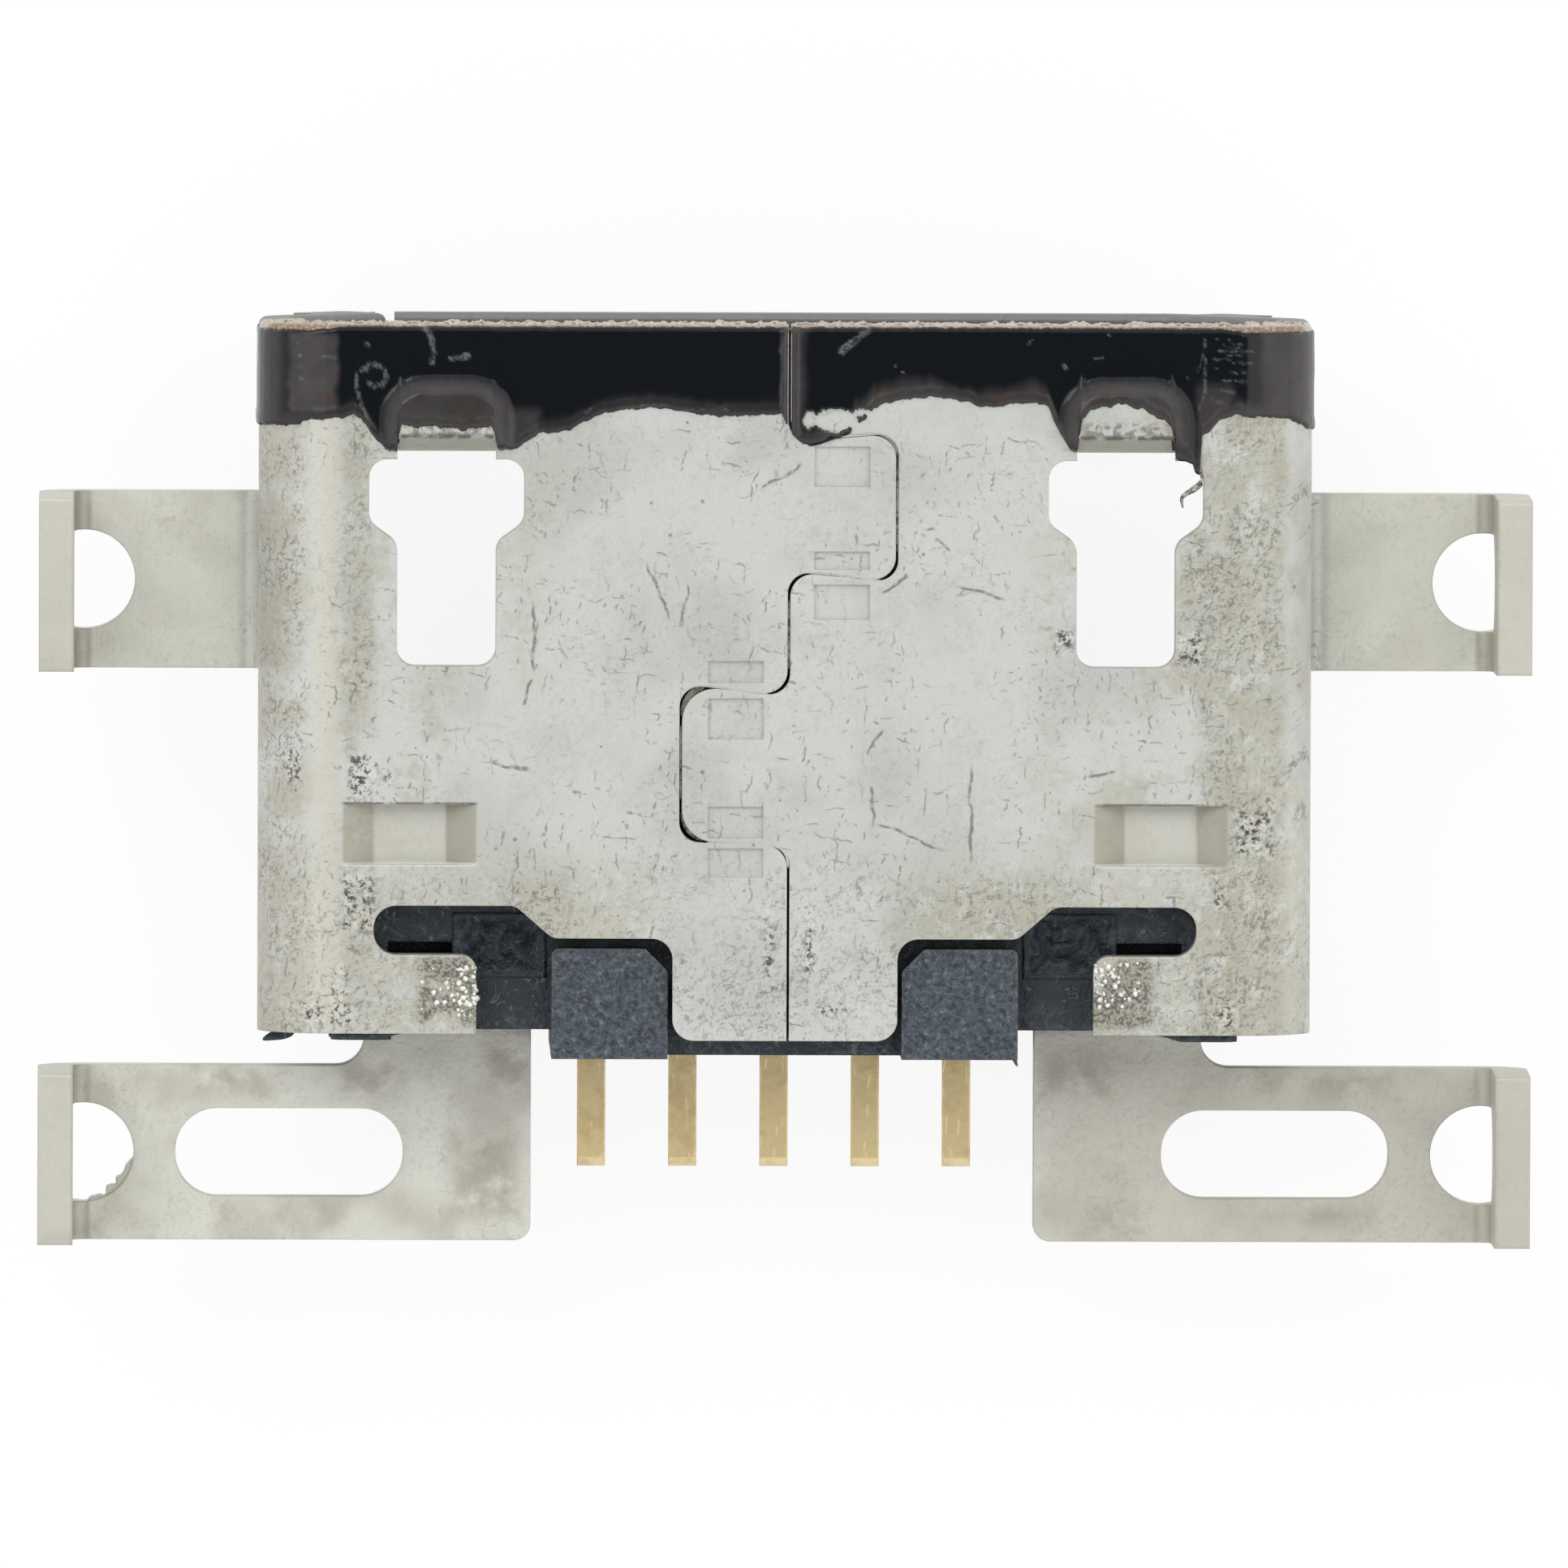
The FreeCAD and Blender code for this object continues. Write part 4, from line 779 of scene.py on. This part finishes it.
def coatThin(along, depth, lift, toEdge):
    # where the coat is thin and looks brown-grey: on bends, beside the seam, along its lower edge
    x = outlineAt(along)[0].x + 0.025 * ripple(along, depth, 5.0, 29.0)
    fromSeam = x - coat["seamAt"]
    strength, reach = (0.75, 0.15) if fromSeam > 0 else (0.85, 0.075)
    beside = strength * (1 - ease(abs(fromSeam), 0.05, reach))
    broad = 0.03 + 0.055 * max(within(x, 0.05, 0.3, 0.9, 1.25), within(x, 1.3, 1.5, 1.72, 1.9))
    broad *= 1 + 0.6 * ripple(x, 0, 3.0, 11.0)
    low = (0.75 if x > 0.1 else 0.5) * (1 - ease(toEdge, broad * 0.7, broad + 0.11))
    hood = 0.75 * ease(lift, 0.004, 0.05) + 0.35 * within(lift, 0.05, 0.09, 0.10, 0.115)
    leftPatch = 0.9 * within(x, -3.54, -3.49, -3.21, -3.16) * within(depth, 0.05, 0.09, 0.60, 0.66)
    ends = 0.65 * ease(x, 3.33, 3.40) + 0.45 * ease(abs(along), 3.58, 3.66)
    beyondHood = 0.8 * within(x, -2.10, -2.02, -1.80, -1.72) * ease(depth, 0.55, 0.66)
    besideHood = 0.7 * within(x, 2.86, 2.95, 3.12, 3.2) * ease(depth, 0.36, 0.48)
    return min(max(beside, low, hood, leftPatch, ends, beyondHood, besideHood), 1)


def coatColumns():
    columns, along = [], -coat["sideReach"]
    while along < coat["sideReach"]:
        columns.append(along)
        along += coat["fineStep"] if -0.1 < along - coat["seamAt"] < 0.64 else coat["step"]
    return columns


def isBare(x, depth):
    for middle, deep, wide, high in coat["bare"]:
        away = math.hypot((x - middle) / wide, (depth - deep) / high)
        if away < 1 + 0.12 * ripple(x, depth, 9.0, 13.0):
            return True
    return False


def coatMark(x, depth):
    return max(strength * (1 - ease(lineDistance(x, depth, line), half * 0.5, half * 1.3))
               for half, strength, line in coat["marks"])


def makeCoat():
    columns, rows = coatColumns(), coat["rows"]
    lifts, spots = [], []
    for along in columns:
        low, high = coatLowerEdge(along), coatUpperEdge(along)
        spots.append([high + (low - high) * row / (rows - 1) for row in range(rows)])
        base, out = outlineAt(along)
        here = [Vector((base.x, mouthY - depth, base.z)) for depth in spots[-1]]
        lifts.append([(onSkin(along, depth) - place).dot(out) for depth, place in zip(spots[-1], here)])
    for turn in range(2):      # lacquer rounds off the corners that it runs into
        old = [column[:] for column in lifts]
        for column in range(1, len(columns) - 1):
            for row in range(1, rows - 1):
                around = old[column - 1][row] + old[column + 1][row] + old[column][row - 1] + old[column][row + 1]
                lifts[column][row] = max(old[column][row], around / 4)
    points, thinness, marking = [], [], []
    for column, along in enumerate(columns):
        base, out = outlineAt(along)
        seam = abs(base.x - coat["seamAt"])
        for depth, lift in zip(spots[column], lifts[column]):
            fromRim, toEdge = depth - spots[column][0], spots[column][-1] - depth
            mark = coatMark(base.x, depth) if abs(along) < coat["markReach"] else 0
            thick = coat["thick"] + coat["lip"] * within(toEdge, 0, 0.03, 0.05, 0.1)
            thick += 0.008 * (1 - ease(abs(seam - 0.045), 0.0, 0.03)) - 0.05 * (1 - ease(seam, 0.006, 0.02))
            thick += 0.006 * mark - 0.012 * (1 - ease(toEdge, 0, 0.012)) - 0.010 * (1 - ease(fromRim, 0, 0.02))
            proud = lift + thick + 0.003 * ripple(along, depth, 2.5, 17.0)
            points.append(Vector((base.x, mouthY - depth, base.z)) + out * proud)
            thinness.append(coatThin(along, depth, lift, toEdge))
            marking.append(mark)
    faces = []
    for column in range(len(columns) - 1):
        for row in range(rows - 1):
            corner = column * rows + row
            middle = (points[corner] + points[corner + rows + 1]) / 2
            if not isBare(middle.x, mouthY - middle.y):
                faces.append((corner, corner + 1, corner + rows + 1, corner + rows))
    mesh = meshFrom("dip_coat", points, faces)
    for name, values in (("thin", thinness), ("mark", marking)):
        attribute = mesh.attributes.new(name, "FLOAT", "POINT")
        attribute.data.foreach_set("value", values)
    piece = addPiece("dip_coat", mesh, materials["lacquer"])
    thicken(piece, coat["solid"])
    print("coat made:", len(faces), "faces")


makeCoat()


def ringFaces(rings):
    # ends and walls of a tube made of rings of four corners
    faces = [(0, 1, 2, 3), tuple(rings * 4 - 1 - corner for corner in range(4))]
    for first in range(0, rings * 4 - 4, 4):
        for edge in range(4):
            after = (edge + 1) % 4
            faces.append((first + edge, first + after, first + after + 4, first + edge + 4))
    return faces


# the near wall's rim is torn along its mouth edge
rimBurr = {"reach": 3.95, "step": 0.014, "low": 0.002, "high": 0.03, "depths": (0.012, 0.05, 0.20, 0.235), "back": 0.03,
           "foot": -0.035}


def makeRimBurr():
    points, along = [], -rimBurr["reach"]
    while along < rimBurr["reach"]:
        base, out = outlineAt(along)
        torn = ease(ripple(along, 0, 7.0, 21.0) + 0.5 * ripple(along, 0, 34.0, 23.0), -0.7, 0.9)
        proud = rimBurr["low"] + (rimBurr["high"] - rimBurr["low"]) * torn
        if abs(along - coat["seamAt"]) < 0.016:
            proud = -rimBurr["back"]
        for depth, ahead in zip(rimBurr["depths"], (rimBurr["foot"], proud * 0.75, proud, -rimBurr["back"])):
            deep = depth + 0.006 * ripple(along, depth, 30.0, 25.0)
            points.append(base - out * deep + Vector((0, mouthY + ahead, 0)))
        along += rimBurr["step"]
    mesh = meshFrom("rim_burr", points, ringFaces(len(points) // 4))
    outwards(mesh)
    addPiece("rim_burr", mesh, materials["burr"])


makeRimBurr()


def makeSliver(name, line, thick, material):
    # a flat curled strip along (place across, depth behind the rim, height over the seam wall, half width)
    places = [Vector((x, mouthY - depth, wallZ + lift)) for x, depth, lift, half in line]
    points = []
    for index, here in enumerate(places):
        ahead = (places[min(index + 1, len(line) - 1)] - places[max(index - 1, 0)]).normalized()
        aside = ahead.cross(Vector((0, 0, 1))).normalized() * line[index][3]
        rise = aside.cross(ahead).normalized() * thick / 2
        points += [here - aside, here + rise, here + aside, here - rise]
    mesh = meshFrom(name, points, ringFaces(len(line)))
    outwards(mesh)
    piece = addPiece(name, mesh, materials[material])
    soft = piece.modifiers.new("soft", "SUBSURF")
    soft.levels = soft.render_levels = 2


# a curl of plating torn off the right window's edge
windowCurl = [(2.965, 1.075, -0.03, 0.02), (2.935, 1.125, -0.04, 0.035), (2.885, 1.165, -0.055, 0.034),
              (2.84, 1.19, -0.07, 0.026), (2.80, 1.22, -0.09, 0.022), (2.805, 1.26, -0.11, 0.016),
              (2.815, 1.30, -0.12, 0.008)]
windowEdge = [(2.90, 0.94, -0.01, 0.012), (2.925, 1.0, -0.01, 0.02), (2.94, 1.06, -0.015, 0.014),
              (2.965, 1.13, -0.02, 0.018), (2.968, 1.22, -0.02, 0.008)]
makeSliver("window_curl", windowCurl, 0.03, "curl")
makeSliver("window_edge", windowEdge, 0.03, "burr")

# metal that flowed over the cross edges of the seam when they were pressed shut: material, and the line it lies on
smears = {
    "smear_1": ("pressed", [(0.33, 0.787), (0.42, 0.779), (0.52, 0.772), (0.60, 0.771), (0.66, 0.768)]),
    "smear_2": ("pressed", [(0.12, 1.755), (0.22, 1.757), (0.33, 1.765), (0.43, 1.783), (0.52, 1.803), (0.62, 1.812),
                            (0.70, 1.818)]),
    "smear_3": ("pressed", [(-0.60, 2.562), (-0.50, 2.566), (-0.40, 2.582), (-0.30, 2.602), (-0.20, 2.615),
                            (-0.10, 2.628)]),
    "smear_4": ("shell", [(-0.57, 3.673), (-0.45, 3.678), (-0.30, 3.684), (-0.15, 3.690), (-0.086, 3.693),
                          (-0.035, 3.71), (0.003, 3.75), (0.017, 3.80), (0.02, 3.86)]),
}
smearSize = {"below": 0.004, "thick": 0.014, "endHalf": 0.008, "swell": 0.014}
for name, (kind, line) in smears.items():
    swell = [math.sin(math.pi * (index + 0.5) / len(line)) for index in range(len(line))]
    places = [(x, depth, -smearSize["below"], smearSize["endHalf"] + smearSize["swell"] * share)
              for (x, depth), share in zip(line, swell)]
    makeSliver(name, places, smearSize["thick"], kind)

# what closes the seam's gap below its edges, thin lines and the lobe's two wide corners: below, half width, line
fills = {
    "fill_1": (0.016, 0.010, [(0.785, 0.97), (0.785, 1.30), (0.785, 1.64)]),
    "fill_2": (0.018, 0.010, [(0.02, 1.93), (0.02, 2.2), (0.02, 2.47)]),
    "fill_3": (0.022, 0.010, [(-0.745, 2.82), (-0.745, 3.10), (-0.745, 3.40)]),
    "fill_4": (0.075, 0.040, [(-0.73, 2.80), (-0.72, 2.69), (-0.66, 2.60), (-0.56, 2.56)]),
    "fill_5": (0.085, 0.040, [(-0.73, 3.44), (-0.71, 3.56), (-0.65, 3.63), (-0.56, 3.66)]),
}
for name, (below, half, line) in fills.items():
    makeSliver(name, [(x, depth, -below, half) for x, depth in line], 0.012, "curl")

# the coat's tail along the lobe
coatTail = [(0.14, 0.85, 0.005, 0.03), (0.24, 0.835, 0.012, 0.02), (0.34, 0.795, 0.012, 0.012),
            (0.46, 0.768, 0.004, 0.006)]
makeSliver("coat_tail", coatTail, 0.02, "lacquer")

# flash of the moulding that shows past the shell's rear edge
cornerFlash = [(-3.71, 5.13, -0.78, 0.014), (-3.63, 5.095, -0.77, 0.055), (-3.55, 5.085, -0.76, 0.062),
               (-3.47, 5.065, -0.74, 0.035)]
makeSliver("corner_flash", cornerFlash, 0.05, "housing")
rearFlash = {      # place across, depth and half width along each line
    "left": [(-3.24, 5.057, 0.03), (-3.20, 5.062, 0.036), (-3.02, 5.067, 0.034), (-2.85, 5.057, 0.04),
             (-2.80, 5.052, 0.03), (-2.72, 5.037, 0.018), (-2.45, 5.037, 0.012)],
    "right": [(2.50, 5.042, 0.010), (2.70, 5.047, 0.014), (2.77, 5.067, 0.034), (2.84, 5.072, 0.036),
              (3.0, 5.067, 0.032), (3.15, 5.072, 0.036), (3.20, 5.067, 0.03)],
}
for side, line in rearFlash.items():
    places = [(x, depth, -0.245, half) for x, depth, half in line]
    makeSliver(side + "_flash", places, 0.04, "housing")

# the moulding sagged and swirled around the sinks: a soft basin laid over each one's sharp edges
basin = {"near": 1.69, "far": 2.36, "front": 4.19, "back": 4.655, "dip": 0.13, "proud": 0.005, "wide": 34, "long": 26,
         "thick": 0.01}


def makeBasin(side, direction):
    above = Vector((direction * (basin["near"] + 0.02), mouthY - 4.4, 2.2))
    level = mould.ray_cast(above, Vector((0, 0, -1)))[0].z
    points, faces, wide, long = [], [], basin["wide"], basin["long"]
    for row in range(long + 1):
        depth = basin["front"] + (basin["back"] - basin["front"]) * row / long
        for column in range(wide + 1):
            across = basin["near"] + (basin["far"] - basin["near"]) * column / wide
            x = direction * across
            inside = min(across - basin["near"], basin["far"] - across, depth - basin["front"], basin["back"] - depth)
            deep = ease(inside + 0.05 * ripple(x, depth, 6.0, 41.0) * ease(inside, 0, 0.1), 0.01, 0.2)
            swirl = ripple(x + 0.1 * ripple(across, depth, 4.0, 43.0), depth, 7.0, 47.0) * ease(inside, 0.02, 0.12)
            rise = basin["proud"] - basin["dip"] * deep + 0.05 * swirl * deep
            points.append(Vector((x, mouthY - depth, level + rise)))
    for row in range(long):
        for column in range(wide):
            corner = row * (wide + 1) + column
            face = (corner, corner + 1, corner + wide + 2, corner + wide + 1)
            faces.append(face if direction < 0 else face[::-1])
    name = side + "_basin"
    piece = addPiece(name, meshFrom(name, points, faces), materials["housing"])
    thicken(piece, basin["thick"])
    print(side, "basin at level", round(level, 3))


makeBasin("left", -1)
makeBasin("right", 1)

# a spur of moulding at the right block's rear corner
spur = [(1.60, 5.16, -0.10, 0.02), (1.635, 5.22, -0.10, 0.024), (1.655, 5.27, -0.10, 0.012)]
makeSliver("block_spur", spur, 0.03, "housing")

# what is left of a slug in the left rear leg's hole
slug = {"x": -(shellHigh.x - 0.33), "depth": 5.9475, "radius": 0.353, "from": -8, "to": -86, "steps": 24,
        "deep": 0.05, "under": 1.07, "top": 1.28}


def makeSlug():
    points, steps = [], slug["steps"]
    for step in range(steps + 1):
        share = step / steps
        angle = math.radians(slug["from"] + (slug["to"] - slug["from"]) * share)
        deep = slug["deep"] * math.sin(math.pi * share) ** 0.5 * (0.8 + 0.9 * ripple(share, 0, 4.5, 35.0)) + 0.004
        outer, inner = slug["radius"] + 0.02, slug["radius"] - deep
        for radius, z in ((outer, slug["under"]), (outer, slug["top"]), (inner, slug["top"]), (inner, slug["under"])):
            x, y = radius * math.cos(angle), radius * math.sin(angle)
            points.append(Vector((slug["x"] + x, mouthY - slug["depth"] + y, z)))
    mesh = meshFrom("hole_slug", points, ringFaces(steps + 1), smooth=False)
    outwards(mesh)
    addPiece("hole_slug", mesh, materials["shell"])


makeSlug()

# beads of rough plating at the inner ends of the rear flaps
beads = {
    "left": {"middle": (-2.40, 4.74), "size": (0.44, 0.34), "seed": 4, "near": 2.16, "far": 2.66},
    "right": {"middle": (2.37, 4.68), "size": (0.34, 0.32), "seed": 9, "near": 2.18, "far": 2.58},
}
beadSize = {"Smallest": 0.008, "Largest": 0.023, "Apart": 0.024, "Crowd": 1500.0}


def beadTree():
    tree = bpy.data.node_groups.new("beads", "GeometryNodeTree")
    kinds = {"Place": "Vector", "Seed": "Int", "Material": "Material"}
    for label in ("Width", "Length", "Apart", "Crowd", "Smallest", "Largest", "Near", "Far", *kinds):
        tree.interface.new_socket(label, in_out="INPUT", socket_type="NodeSocket" + kinds.get(label, "Float"))
    tree.interface.new_socket("Geometry", in_out="OUTPUT", socket_type="NodeSocketGeometry")
    given, result = tree.nodes.new("NodeGroupInput").outputs, tree.nodes.new("NodeGroupOutput").inputs

    def node(kind, **values):
        return fill(tree.nodes.new(kind), {label.replace("_", " "): value for label, value in values.items()})
    grid = node("GeometryNodeMeshGrid", Size_X=given["Width"], Size_Y=given["Length"])
    moved = node("GeometryNodeTransform", Geometry=grid.outputs["Mesh"], Translation=given["Place"])
    x = split(node("GeometryNodeInputPosition").outputs[0])[0]
    fade = node("ShaderNodeMapRange", Value=absolute(x), From_Min=given["Far"], From_Max=given["Near"])
    spread = node("GeometryNodeDistributePointsOnFaces", Mesh=moved.outputs["Geometry"])
    spread.distribute_method = "POISSON"
    for label, value in (("Distance Min", given["Apart"]), ("Density Max", given["Crowd"]),
                         ("Density Factor", fade.outputs["Result"]), ("Seed", given["Seed"])):
        put(spread.inputs[label], value)
    bead = node("GeometryNodeMeshUVSphere", Segments=8, Rings=5, Radius=1.0)
    turn = node("FunctionNodeRandomValue", Seed=given["Seed"])
    turn.data_type = "FLOAT_VECTOR"
    put(turn.inputs["Max"], (0.5, 0.5, 6.3))
    size = node("FunctionNodeRandomValue", Seed=given["Seed"])
    size.data_type = "FLOAT"
    sizeIn = [socket for socket in size.inputs if socket.enabled and socket.name in ("Min", "Max")]
    sizeOut = [socket for socket in size.outputs if socket.enabled][0]
    put(sizeIn[0], given["Smallest"])
    put(sizeIn[1], given["Largest"])
    squash = join(times(sizeOut, 1.25), sizeOut, times(sizeOut, 0.8))
    placed = node("GeometryNodeInstanceOnPoints", Points=spread.outputs["Points"], Instance=bead.outputs["Mesh"],
                  Rotation=[socket for socket in turn.outputs if socket.enabled][0], Scale=squash)
    real = node("GeometryNodeRealizeInstances", Geometry=placed.outputs["Instances"])
    smooth = node("GeometryNodeSetShadeSmooth", Geometry=real.outputs["Geometry"])
    dressed = node("GeometryNodeSetMaterial", Geometry=smooth.outputs["Geometry"], Material=given["Material"])
    put(result["Geometry"], dressed.outputs["Geometry"])
    return tree


def plainMesh(tree, name, **values):
    # the tree's result as a mesh of its own, in metres
    holder = bpy.data.objects.new(name + " maker", bpy.data.meshes.new(name + " start"))
    scene.collection.objects.link(holder)
    maker = holder.modifiers.new("maker", "NODES")
    maker.node_group = tree
    for item in tree.interface.items_tree:
        if item.in_out == "INPUT" and item.name in values:
            maker[item.identifier] = values[item.name]
    mesh = bpy.data.meshes.new_from_object(holder.evaluated_get(bpy.context.evaluated_depsgraph_get()))
    holder.modifiers.remove(maker)
    bpy.data.objects.remove(holder)
    mesh.name = name
    mesh.transform(Matrix.Scale(mm, 4))
    return mesh


beadMaker = beadTree()
for side, patch in beads.items():
    (x, depth), (width, length) = patch["middle"], patch["size"]
    mesh = plainMesh(beadMaker, side + "_beads", Width=width, Length=length, Near=patch["near"], Far=patch["far"],
                     Place=(x, mouthY - depth, wallZ - 0.002), Seed=patch["seed"], Material=materials["bead"],
                     **beadSize)
    addPiece(side + "_beads", mesh, materials["bead"])
    print(side, "beads:", len(mesh.polygons), "faces")

stageLook = {"floor": 0.9, "shadowShare": 0.12, "skyLow": 1.02, "skyHigh": 0.2, "dimFrom": 0.92, "dimTo": 0.985,
             "size": 0.5, "drop": 0.00002}


def makeFloor():
    size = stageLook["size"]
    mesh = bpy.data.meshes.new("floor")
    corners = [(x * size, y * size, -stageLook["drop"]) for x, y in ((-1, -1), (1, -1), (1, 1), (-1, 1))]
    mesh.from_pydata(corners, [], [(0, 1, 2, 3)])
    floor = bpy.data.objects.new("floor", mesh)
    scene.collection.objects.link(floor)
    material = bpy.data.materials.new("pale floor")
    material.use_nodes = True
    tree = material.node_tree
    tree.nodes.remove(tree.nodes["Principled BSDF"])
    paths = tree.nodes.new("ShaderNodeLightPath").outputs
    plain = tree.nodes.new("ShaderNodeBsdfDiffuse")
    plain.inputs["Color"].default_value = (stageLook["floor"],) * 3 + (1,)
    glow = tree.nodes.new("ShaderNodeEmission")
    shown = most(paths["Is Camera Ray"], paths["Is Glossy Ray"], paths["Is Transmission Ray"])
    mix = tree.nodes.new("ShaderNodeMixShader")
    put(mix.inputs["Fac"], times(shown, 1 - stageLook["shadowShare"]))
    put(mix.inputs[1], plain.outputs[0])
    put(mix.inputs[2], glow.outputs[0])
    put(tree.nodes["Material Output"].inputs["Surface"], mix.outputs[0])
    mesh.materials.append(material)


def makeSky():
    # a light tent: bright all round, dimmer straight above, where the camera looks in
    world = bpy.data.worlds.new("light tent")
    scene.world = world
    world.use_nodes = True
    tree = world.node_tree
    background = tree.nodes["Background"]
    upward = split(tree.nodes.new("ShaderNodeTexCoord").outputs["Generated"])[2]
    tent = mixValue(slope(upward, stageLook["dimFrom"], stageLook["dimTo"]), stageLook["skyLow"], stageLook["skyHigh"])
    camera = tree.nodes.new("ShaderNodeLightPath").outputs["Is Camera Ray"]
    put(background.inputs["Strength"], mixValue(camera, tent, 1.0))
    background.inputs["Color"].default_value = (1, 1, 1, 1)


lamps = {
    "key": {"place": (-0.16, 0.20, 0.26), "size": 0.22, "power": 0.40},
    "fill": {"place": (0.24, 0.02, 0.20), "size": 0.45, "power": 0.34},
}


def makeLamps():
    for name, lamp in lamps.items():
        light = bpy.data.lights.new(name, "AREA")
        light.size = lamp["size"]
        light.energy = lamp["power"]
        thing = bpy.data.objects.new(name, light)
        thing.location = lamp["place"]
        thing.rotation_euler = Vector(lamp["place"]).to_track_quat("Z", "Y").to_euler()
        scene.collection.objects.link(thing)


# the photograph looks down on the seam wall, nearly square on, from far away
cameraLook = {"distance": 300.0, "tilt": 2.8, "turn": -0.9, "roll": 0.2, "photoWidth": 1932, "pixelsPerMm": 173.7,
              "centreColumn": 968, "rimRow": 400, "sensor": 36, "clipStart": 0.01, "clipEnd": 3}


def makeCamera():
    look = cameraLook
    middle = look["photoWidth"] / 2
    target = Vector(((middle - look["centreColumn"]) / look["pixelsPerMm"],
                     mouthY - (middle - look["rimRow"]) / look["pixelsPerMm"], wallZ))
    back = Vector((math.tan(math.radians(look["turn"])), math.tan(math.radians(look["tilt"])), 1)).normalized()
    camera = bpy.data.cameras.new("camera")
    camera.sensor_width = look["sensor"]
    camera.lens = camera.sensor_width * look["distance"] * look["pixelsPerMm"] / look["photoWidth"]
    camera.clip_start, camera.clip_end = look["clipStart"], look["clipEnd"]
    thing = bpy.data.objects.new("camera", camera)
    thing.location = (target + back * look["distance"]) * mm
    across = Vector((0, 1, 0)).cross(back).normalized()
    level = Matrix((across, back.cross(across), back)).transposed().to_quaternion()
    thing.rotation_mode = "QUATERNION"
    thing.rotation_quaternion = level @ Quaternion((0, 0, 1), math.radians(look["roll"]))
    scene.collection.objects.link(thing)
    scene.camera = thing


makeFloor()
makeSky()
makeLamps()
makeCamera()
scene.view_settings.view_transform = "Standard"
print("stage, lamps and camera set")
